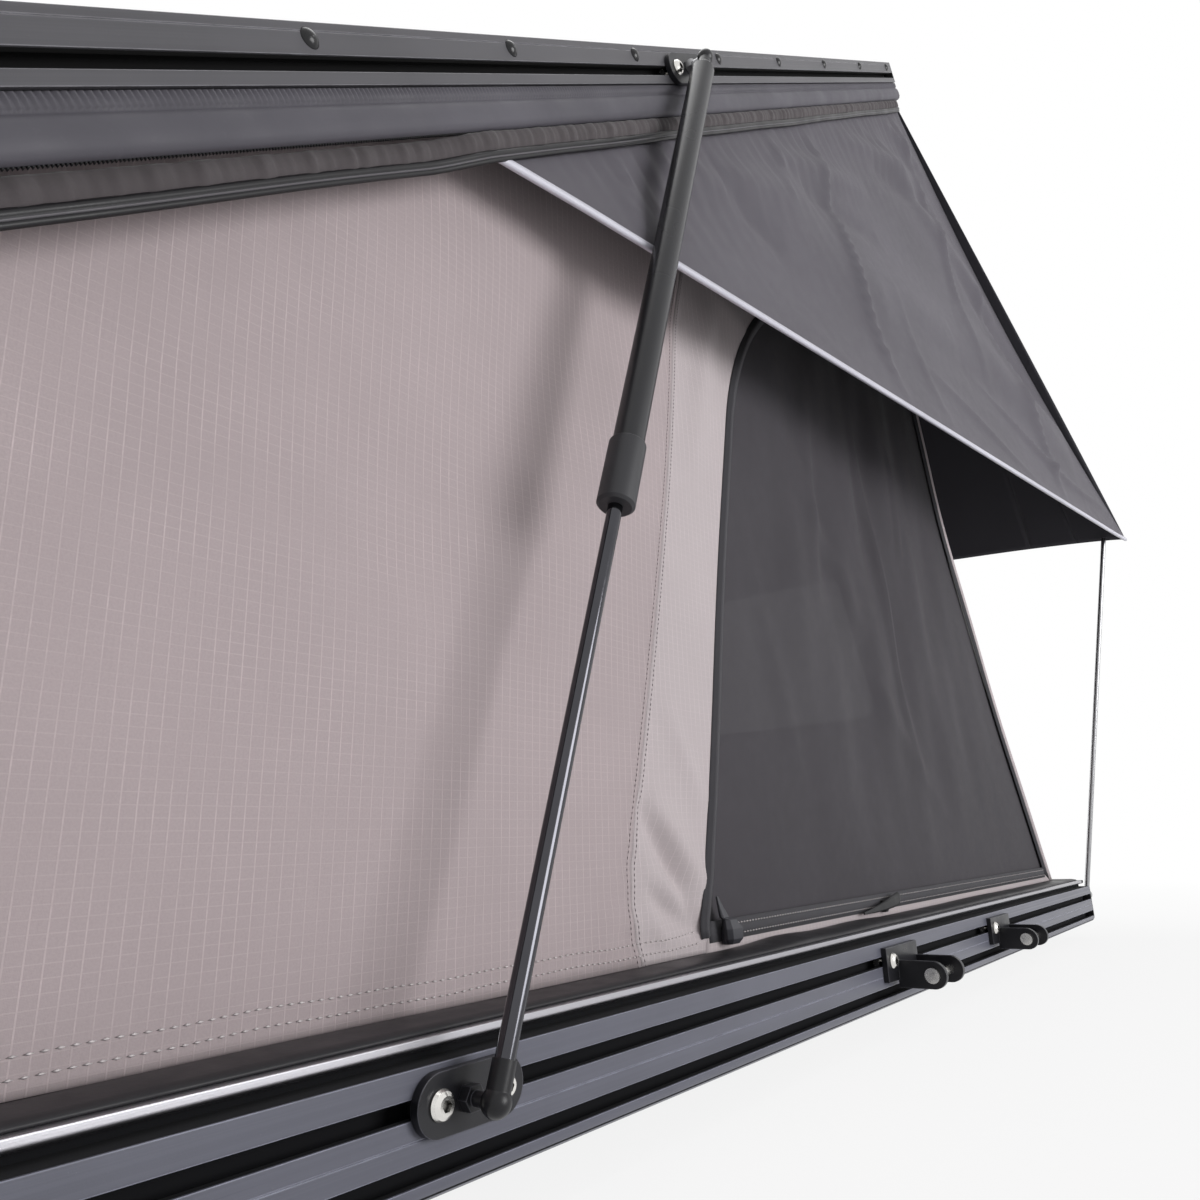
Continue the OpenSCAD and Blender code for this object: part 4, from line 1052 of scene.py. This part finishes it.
def skirt_zip(name, side):
    """Zip coil along the lower edge of the skirt."""
    coil = Thread(length=2.4, width=3.2, height=1.2)
    u = np.linspace(canvas_x0 + 6, frame_x1 - 8, 400)
    out = -lid_normal + np.array([0, 0.7 * side, 0])
    coil.row(place_lid(u, side * (half_w - 4.6), 1.7), out, pitch=2.1)
    return coil.make(name)


for side_name, side in SIDES.items():
    dress(skirt_zip(f"skirt_zip_{side_name}", side), coil_look, "lid")


def out_of_hood(u):
    """0 along the wall, 1 where the band hangs outside the hood."""
    k = np.clip((u - hood_root + 10) / 70, 0, 1)
    return k * k * (3 - 2 * k)


def band_setback(u):
    return 10.5 - 7.5 * out_of_hood(u)


def gather(u, k):
    """Depth of the small irregular folds of the gathered band, k down its height."""
    coarse = math.sin(2 * math.pi * u / 47 + 3.1 * math.sin(u / 57) + 0.5 * k)
    middle = math.sin(2 * math.pi * u / 18.5 + 3.3 * math.sin(u / 41) + 1.1 * k)
    fine = math.sin(2 * math.pi * u / 7.9 + 2.9 * math.sin(u / 23) + 1.9 * k)
    return 0.8 * coarse + 0.75 * middle * (1 + 0.5 * coarse) + 0.45 * fine


band_top = 0.9
band_low = -11.6


def ruched_section(i, u):
    """Gathered band that hangs from the skirt in front of the wall."""
    back = band_setback(u)
    out = []
    for k in np.linspace(0, 1, 12):
        belly = 1.6 * math.sin(math.pi * k)
        fold = gather(u, k) * (0.35 + 0.65 * math.sin(math.pi * k) ** 0.6)
        out.append((back - belly - fold, band_top + k * (band_low - band_top)))
    return out


def trim_line(u):
    """Setback and height of the binding under the ruched band."""
    return band_setback(u), band_low + 0.4 * math.sin(u / 90) + 0.25 * math.sin(u / 37)


# Binding under the ruched band, in two rolls, and the thin piping between them, off that line
TRIM_PROFILE = [(1.6, 1.0), (-0.6, 0.8), (-2.2, -0.8), (-2.0, -2.8), (-0.4, -3.9), (-1.4, -5.0), (-1.2, -6.6),
                (0.2, -7.4), (1.6, -6.4)]
PIPED_PROFILE = [(-0.2, -3.2), (-1.5, -3.4), (-2.0, -4.0), (-1.5, -4.6), (-0.2, -4.7)]


def on_trim_line(profile):
    return lambda i, u: np.add(profile, trim_line(u))


band_u = np.arange(canvas_x0 + 12, hood_u - 8, 2.2)
for side_name, side in SIDES.items():
    at = along_lid_side(side)
    ruched = thicken(lid_run(f"ruched_band_{side_name}", ruched_section, at, band_u, closed=False), 0.6)
    dress_lid_cloth(ruched, band_look)
    trim = lid_run(f"band_trim_{side_name}", on_trim_line(TRIM_PROFILE), at, band_u[::4])
    dress_lid_cloth(trim, binding_look)
    piped = lid_run(f"band_piping_{side_name}", on_trim_line(PIPED_PROFILE), at, band_u[::4])
    dress_lid_cloth(piped, piped_look)

# Hood

hood_fall = hood_top_v + hood_drop
hood_flare = hood_low_y - hood_y
hood_run = hood_u - hood_root
HOOD_CREASES = [
    ((1120, -30), (1500, -110), 26, 8.0),
    ((1250, -24), (1330, -150), 16, -6.0, 1.1),
    ((1430, -40), (1760, -120), 20, 9.0, 1.1),
    ((1480, -90), (1700, -190), 18, -6.0, 1.1),
    ((1750, -40), (2080, -130), 20, 9.0, 1.1),
    ((1830, -90), (2100, -200), 18, -7.0, 1.1),
    ((1950, -60), (2140, -420), 30, 11.0),
    ((2020, -150), (2150, -620), 26, -8.0),
    ((1350, -120), (1800, -380), 60, 8.0),
    ((1560, -250), (1980, -560), 40, -7.0),
    ((1900, -340), (2120, -700), 50, 10.0),
]


def crumple(u, v):
    """Fine crossing wrinkles of stiff coated cloth, in patches."""
    bend = 26 * np.sin(u / 97) + 20 * np.sin(v / 71 + u / 190)
    rising = (1 - np.abs(ripple(u + bend, v, 0.75, 230, 0.3))) ** 4 * np.clip(ripple(u, v, 1.2, 640, 0.5), 0, 1)
    falling = (1 - np.abs(ripple(u, v + bend, -0.55, 290, 1.1))) ** 4 * np.clip(ripple(u, v, -0.2, 520, 2.0), 0, 1)
    return 8.5 * rising + 8.5 * falling


def hood_side_relief(u, v):
    """How far the hood's side panel stands out of its plane."""
    below = np.clip(hood_top_v - v, 0, None)
    ahead = np.clip((u - hood_root) / hood_run, 0, 1)
    edge = np.clip((hood_u - u) / 60, 0, 1) * np.clip((below - hood_top_v) / 60, 0, 1)
    tucked = np.clip((below - hood_top_v - 12) / 22, 0, 1) * np.clip((v - hood_low_v(u)) / 70, 0, 1)
    pleat = np.sin(2 * np.pi * u / 27 + 1.8 * np.sin(u / 53)) * np.exp(-below / 60)
    out = 4.5 * tucked * pleat - 16 * ahead * np.sin(np.pi * np.clip(below / np.maximum(ahead * hood_fall, 1), 0, 1))
    out = out + edge * creased(u, v, HOOD_CREASES)
    off_hem = np.clip((v - hood_low_v(u)) / 90, 0, 1)
    return out + edge * (2.0 * ripple(u, v, 0.9, 260, 0.6) + off_hem * crumple(u, v))


def on_hood_side(u, v, side):
    across = hood_y + (hood_top_v - v) / hood_fall * hood_flare
    return place_lid(u, side * (across + hood_side_relief(u, v)), v)


def hood_low_v(u):
    """Height of the side panel's lower edge."""
    return hood_top_v - (u - hood_root) / hood_run * hood_fall


def hood_front_relief(y, v):
    below = np.clip((hood_top_v - v) / hood_fall, 0, 1)
    wide = np.clip(1 - (y / hood_low_y) ** 2, 0, 1)
    wave = 5 * ripple(y, v, 0.1, 330, 0.4) + 3 * ripple(y, v, -0.3, 190, 1.0)
    pleat = 2.0 * np.sin(2 * np.pi * y / 31 + np.sin(y / 71)) * np.exp(-(hood_top_v - v) / 34)
    return np.sin(np.pi * below) ** 0.5 * wide * wave + 9 * np.sin(np.pi * below / 2) * wide + pleat * wide


def on_hood_front(y, v):
    return place_lid(hood_u + hood_front_relief(y, v), y, v)


def fall_direction(y_low, y_high):
    """Row-frame direction down a hood panel whose edge drops from y_high to y_low."""
    down = place_lid(0, y_low, -hood_drop) - place_lid(0, y_high, hood_top_v)
    return down / np.linalg.norm(down)


def dress_hood(obj, look, down, top_y, back=None):
    """A hood piece, carried by the lid. top_y is where its root sits."""
    anchor = place_lid(hood_u, top_y, hood_top_v - 1)
    return dress(obj, look, "lid", down, anchor, back)


def hood_side(name, side):
    b, a = grid(120, 150)
    u = hood_root + (0.002 + 0.998 * a) * hood_run
    v = hood_top_v + b * (hood_low_v(u) - hood_top_v)
    panel = panel_mesh(name, on_hood_side(u, v, side), pair(u, v), side < 0)
    return thicken(panel, hood_cloth_t, second_face=True)


def hood_piping(name, side):
    """Pale piping folded over the side panel's lower edge."""
    u = np.linspace(hood_root + 44, hood_u, 160)
    path = on_hood_side(u, hood_low_v(u), side)
    slope = unit(place_lid(hood_root, 0, hood_top_v) - place_lid(hood_u, 0, -hood_drop))
    profile = [(-2.8, -1.6), (-2.8, 1.6), (0, 2.2), (2.8, 1.6), (2.8, -1.6), (0, -2.2)]
    return sweep(name, path, unit(np.cross([0, 1, 0], slope)), [0.0, side, 0.0], profile)


def hem_arch(y):
    """Lift of the hood's front hem between its corners."""
    return 44 * np.clip(1 - (y / hood_low_y) ** 2, 0, 1) ** 0.8


def hood_gore(name, y_top, low_a, low_b, cols):
    """A front panel of the hood between two edges that meet the lid at y_top[0] and y_top[1]."""
    b, a = grid(110, cols)
    one = y_top[0] + b * (low_a - y_top[0])
    other = y_top[1] + b * (low_b - y_top[1])
    y = one + a * (other - one)
    v = hood_top_v - b * (hood_fall - hem_arch(y))
    panel = panel_mesh(name, on_hood_front(y, v), pair(y, v), low_b > low_a)
    return thicken(panel, hood_cloth_t, second_face=True)


side_down = fall_direction(hood_low_y, hood_y)
for side_name, side in SIDES.items():
    panel = hood_side(f"hood_side_{side_name}", side)
    down = side_down * np.array([1, side, 1])
    piping = dress_hood(hood_piping(f"hood_piping_{side_name}", side), piping_look, down, side * hood_y)
    dress_hood(panel, hood_look, down, side * hood_y, hood_inside_shade_look)
    middle = side * (hood_y + hood_low_y) / 2
    for part, low_a, low_b in (("inner", side * hood_y, middle), ("outer", middle, side * hood_low_y)):
        gore = hood_gore(f"hood_gore_{part}_{side_name}", (side * hood_y, side * hood_y), low_a, low_b, cols=12)
        dress_hood(gore, hood_look, fall_direction(low_b, side * hood_y), side * hood_y, hood_inside_shade_look)
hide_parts("hood")
hood_front = hood_gore("hood_front", (-hood_y, hood_y), -hood_y, hood_y, cols=130)
dress_hood(hood_front, hood_look, -lid_normal, 0, hood_inside_shade_look)

# Inside


def quilted(name, low, high, puff, pitch, rows, cols, to_points):
    """A crowned pad over a flat box, sewn in a diamond grid. low and high are its corners."""
    t, s = grid(rows, cols)
    x = low[0] + s * (high[0] - low[0])
    y = low[1] + t * (high[1] - low[1])
    to_edge = np.minimum.reduce([x - low[0], high[0] - x, y - low[1], high[1] - y])
    round_r = min(22.0, (high[2] - low[2]) * 0.8)
    drop = round_r - np.sqrt(np.clip(round_r ** 2 - np.clip(round_r - to_edge, 0, round_r) ** 2, 0, None))
    sewn = np.abs(np.sin(np.pi * (x + y) / pitch) * np.sin(np.pi * (x - y) / pitch)) ** 0.45
    top = high[2] - puff + puff * sewn - drop
    points = np.stack([x, y, np.maximum(top, low[2])], axis=-1).reshape(-1, 3)
    rim = np.concatenate([np.arange(cols), np.arange(1, rows) * cols + cols - 1,
                          (rows - 1) * cols + np.arange(cols - 2, -1, -1), np.arange(rows - 2, 0, -1) * cols])
    foot = rows * cols + np.arange(len(rim))
    faces = grid_faces(rows, cols).tolist()
    faces += np.column_stack([np.roll(rim, -1), rim, foot, np.roll(foot, -1)]).tolist()
    faces.append(foot.tolist())
    points = np.vstack([points, points[rim] * [1, 1, 0] + [0, 0, low[2]]])
    return make_mesh(name, to_points(points), faces, points[:, :2] * MM)


mattress_low, mattress_high = node_box("mattress")
mattress = quilted("mattress_pad", mattress_low + [1, 1, 0.3], mattress_high - [1, 1, 0], puff=6, pitch=170,
                   rows=90, cols=150, to_points=lambda p: place(*p.T))
dress(mattress, mattress_look, "base")
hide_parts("mattress")

liner_inset = rail_d + 2
liner_v = 43
liner_t = 8
liner_low = np.array([frame_x0 + liner_inset, -half_w + liner_inset, -liner_v - liner_t])
liner_high = np.array([frame_x1 - liner_inset, half_w - liner_inset, -liner_v])
headliner = quilted("headliner_pad", liner_low, liner_high, puff=3, pitch=210, rows=80, cols=120,
                    to_points=lambda p: place_lid(p[:, 0], p[:, 1], -p[:, 2]))
headliner.data.flip_normals()
dress(headliner, felt_look, "lid")
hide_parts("headliner")

# Zip sliders


def facet_rings(sections):
    """Stacked rectangles with cut corners, each given as centre, half sizes and corner cut."""
    rings = []
    for (cx, cy, cz), (hx, hy), cut in sections:
        corner = [(hx, hy - cut), (hx - cut, hy), (-hx + cut, hy), (-hx, hy - cut), (-hx, -hy + cut), (-hx + cut, -hy),
                  (hx - cut, -hy), (hx, -hy + cut)]
        rings.append([(cx + a, cy + b, cz) for a, b in corner])
    return np.array(rings)


SLIDER_BODY = [((0, 3.0, 0), (4.5, 2.2), 1.2), ((0, 3.4, 3), (6.0, 2.8), 1.6), ((0, 3.4, 9), (7.0, 2.8), 1.8),
               ((0, 3.0, 12), (5.4, 2.2), 1.4)]
PULL_UP = [((4, 5.6, 0), (8.0, 3.0), 2.4), ((3, 7.2, 4), (11.0, 4.6), 3.4), ((1, 8.0, 12), (11.5, 5.0), 3.6),
           ((-3, 7.6, 19), (7.5, 4.0), 3.0), ((-8, 6.4, 21), (5.4, 2.2), 1.4), ((-11, 5.4, 28), (3.2, 1.5), 0.8),
           ((-14, 4.4, 37), (1.0, 0.8), 0.3)]
PULL_ALONG = [((3, 6.5, -66), (1.2, 0.8), 0.3), ((4.5, 7.4, -42), (2.6, 1.4), 0.8), ((7, 8.4, -14), (4.6, 2.0), 1.4),
              ((10, 8.8, 10), (6.2, 2.4), 1.8), ((12.5, 8.8, 26), (6.4, 2.2), 1.6), ((13.5, 8.4, 31), (4.6, 1.5), 1.0)]


def zip_slider(name, side, at_x, low_z, pull, lying):
    """Slider body and its faceted pull, which stands up or lies along the door's foot."""
    points, faces = [], []
    for sections in (SLIDER_BODY, pull):
        rings = facet_rings(sections)
        turned = lying and sections is pull
        if turned:
            rings = rings[..., [2, 1, 0]]
        first = len(points)
        count, cols = rings.shape[:2]
        points += [tuple(p) for ring in rings for p in ring]
        made = [[first + i for i in f] for f in tube_faces(count, cols)]
        faces += [f[::-1] for f in made] if turned else made
    points = np.array(points)
    row = place(at_x + points[:, 0], side * (canvas_y + 1.0 + points[:, 1]), low_z + points[:, 2])
    obj = make_mesh(name, row, [f[::-1] for f in faces] if side < 0 else faces, smooth=False)
    bevel = obj.modifiers.new("soft_edges", "BEVEL")
    bevel.width = 0.5 * MM
    bevel.segments = 2
    return obj


for side_name, side in SIDES.items():
    for end, pull in (("rear", PULL_UP), ("front", PULL_ALONG)):
        cad = f"zip_slider_{side_name}_{end}"
        low, high = node_box(cad)
        piece = zip_slider(f"zip_pull_{side_name}_{end}", side, (low[0] + high[0]) / 2, low[2], pull, end == "front")
        dress(piece, pull_look if end == "rear" else plastic_look, f"{side_name}_{end}_zip",
              (0, 0, 1), place(0, 0, low[2]))
        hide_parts(cad)

# Camera, floor and light

camera_at = (-0.74097, -1.02490, 0.17623)
camera_heading = math.radians(37.184)
camera_pitch = math.radians(15.272)
camera_roll = math.radians(-2.250)
lens = 27.42
WHITE = (1, 1, 1, 1)


def stand(name, data, at, right, up, back):
    """Puts a camera or lamp at a point, looking away from its back."""
    made = bpy.data.objects.new(name, data)
    made.matrix_world = Matrix([[right[i], up[i], back[i], at[i]] for i in range(3)] + [[0, 0, 0, 1]])
    bpy.context.scene.collection.objects.link(made)
    return made


def make_camera():
    ch, sh = math.cos(camera_heading), math.sin(camera_heading)
    ahead = np.array([math.cos(camera_pitch) * ch, math.cos(camera_pitch) * sh, math.sin(camera_pitch)])
    level = np.array([sh, -ch, 0])
    over = np.cross(level, ahead)
    right = math.cos(camera_roll) * level + math.sin(camera_roll) * over
    up = math.cos(camera_roll) * over - math.sin(camera_roll) * level
    data = bpy.data.cameras.new("camera")
    data.lens = lens
    data.sensor_width = 36
    data.clip_start = 0.02
    bpy.context.scene.camera = stand("camera", data, camera_at, right, up, -ahead)


def area_light(name, at, aim, size, power):
    data = bpy.data.lights.new(name, "AREA")
    data.shape = "DISK"
    data.size = size
    data.energy = power
    back = unit(np.subtract(at, aim))
    level = unit(np.cross([0, 0, 1], back))
    stand(name, data, at, level, np.cross(back, level), back)


def show_white(tree):
    """1 for the rays that see the background, 0 for those that light the object."""
    path = add_node(tree, "ShaderNodeLightPath").outputs
    seen = path["Is Camera Ray"]
    for name in ("Is Glossy Ray", "Is Transmission Ray"):
        seen = add_node(tree, "ShaderNodeMath", {0: seen, 1: path[name]}, operation="MAXIMUM").outputs[0]
    return seen


def mix_white(tree, share, lit, white, output):
    """Shows a white shader in place of the lit one, by the given share."""
    mixed = add_node(tree, "ShaderNodeMixShader", {0: share, 1: lit.outputs[0], 2: white.outputs[0]})
    tree.links.new(mixed.outputs[0], tree.nodes[output].inputs["Surface"])


def make_world(strength):
    world = bpy.data.worlds.new("studio")
    bpy.context.scene.world = world
    world.use_nodes = True
    tree = world.node_tree
    light = tree.nodes["Background"]
    light.inputs["Color"].default_value = WHITE
    light.inputs["Strength"].default_value = strength
    white = add_node(tree, "ShaderNodeBackground", {"Color": WHITE})
    mix_white(tree, show_white(tree), light, white, "World Output")


def make_floor():
    reach = 30.0
    low = float(cad_box[0][2])
    corners = [(-reach, -reach, low), (reach, -reach, low), (reach, reach, low), (-reach, reach, low)]
    floor = make_mesh("floor", np.array(corners), [[0, 1, 2, 3]])
    look = Look("floor_white", 0.9, Base_Color=(0.85, 0.85, 0.85, 1))
    glow = look.node("ShaderNodeEmission", {"Color": WHITE, "Strength": 1.0})
    away = look.node("ShaderNodeVectorMath", {0: look.coords()}, operation="LENGTH").outputs["Value"]
    share = look.math("MULTIPLY", show_white(look.tree), look.span(away, 1.4, 3.0, 0.86, 1.0))
    mix_white(look.tree, share, look.shader, glow, "Material Output")
    floor.data.materials.append(look.material)


# Lamps as name, place, aim, size in metres and power in watts
LAMPS = [
    ("key", (0.9, -4.1, 0.8), (0.1, -0.6, 0.5), 2.2, 98),
    ("back", (0.4, 4.0, 1.4), (0.0, 0.6, 0.5), 2.6, 60),
    ("top", (0.2, 0.0, 4.6), (0.0, 0.0, 0.8), 3.4, 60),
]
make_camera()
make_world(strength=0.30)
make_floor()
for lamp in LAMPS:
    area_light(*lamp)
bpy.context.scene.view_settings.view_transform = "Standard"
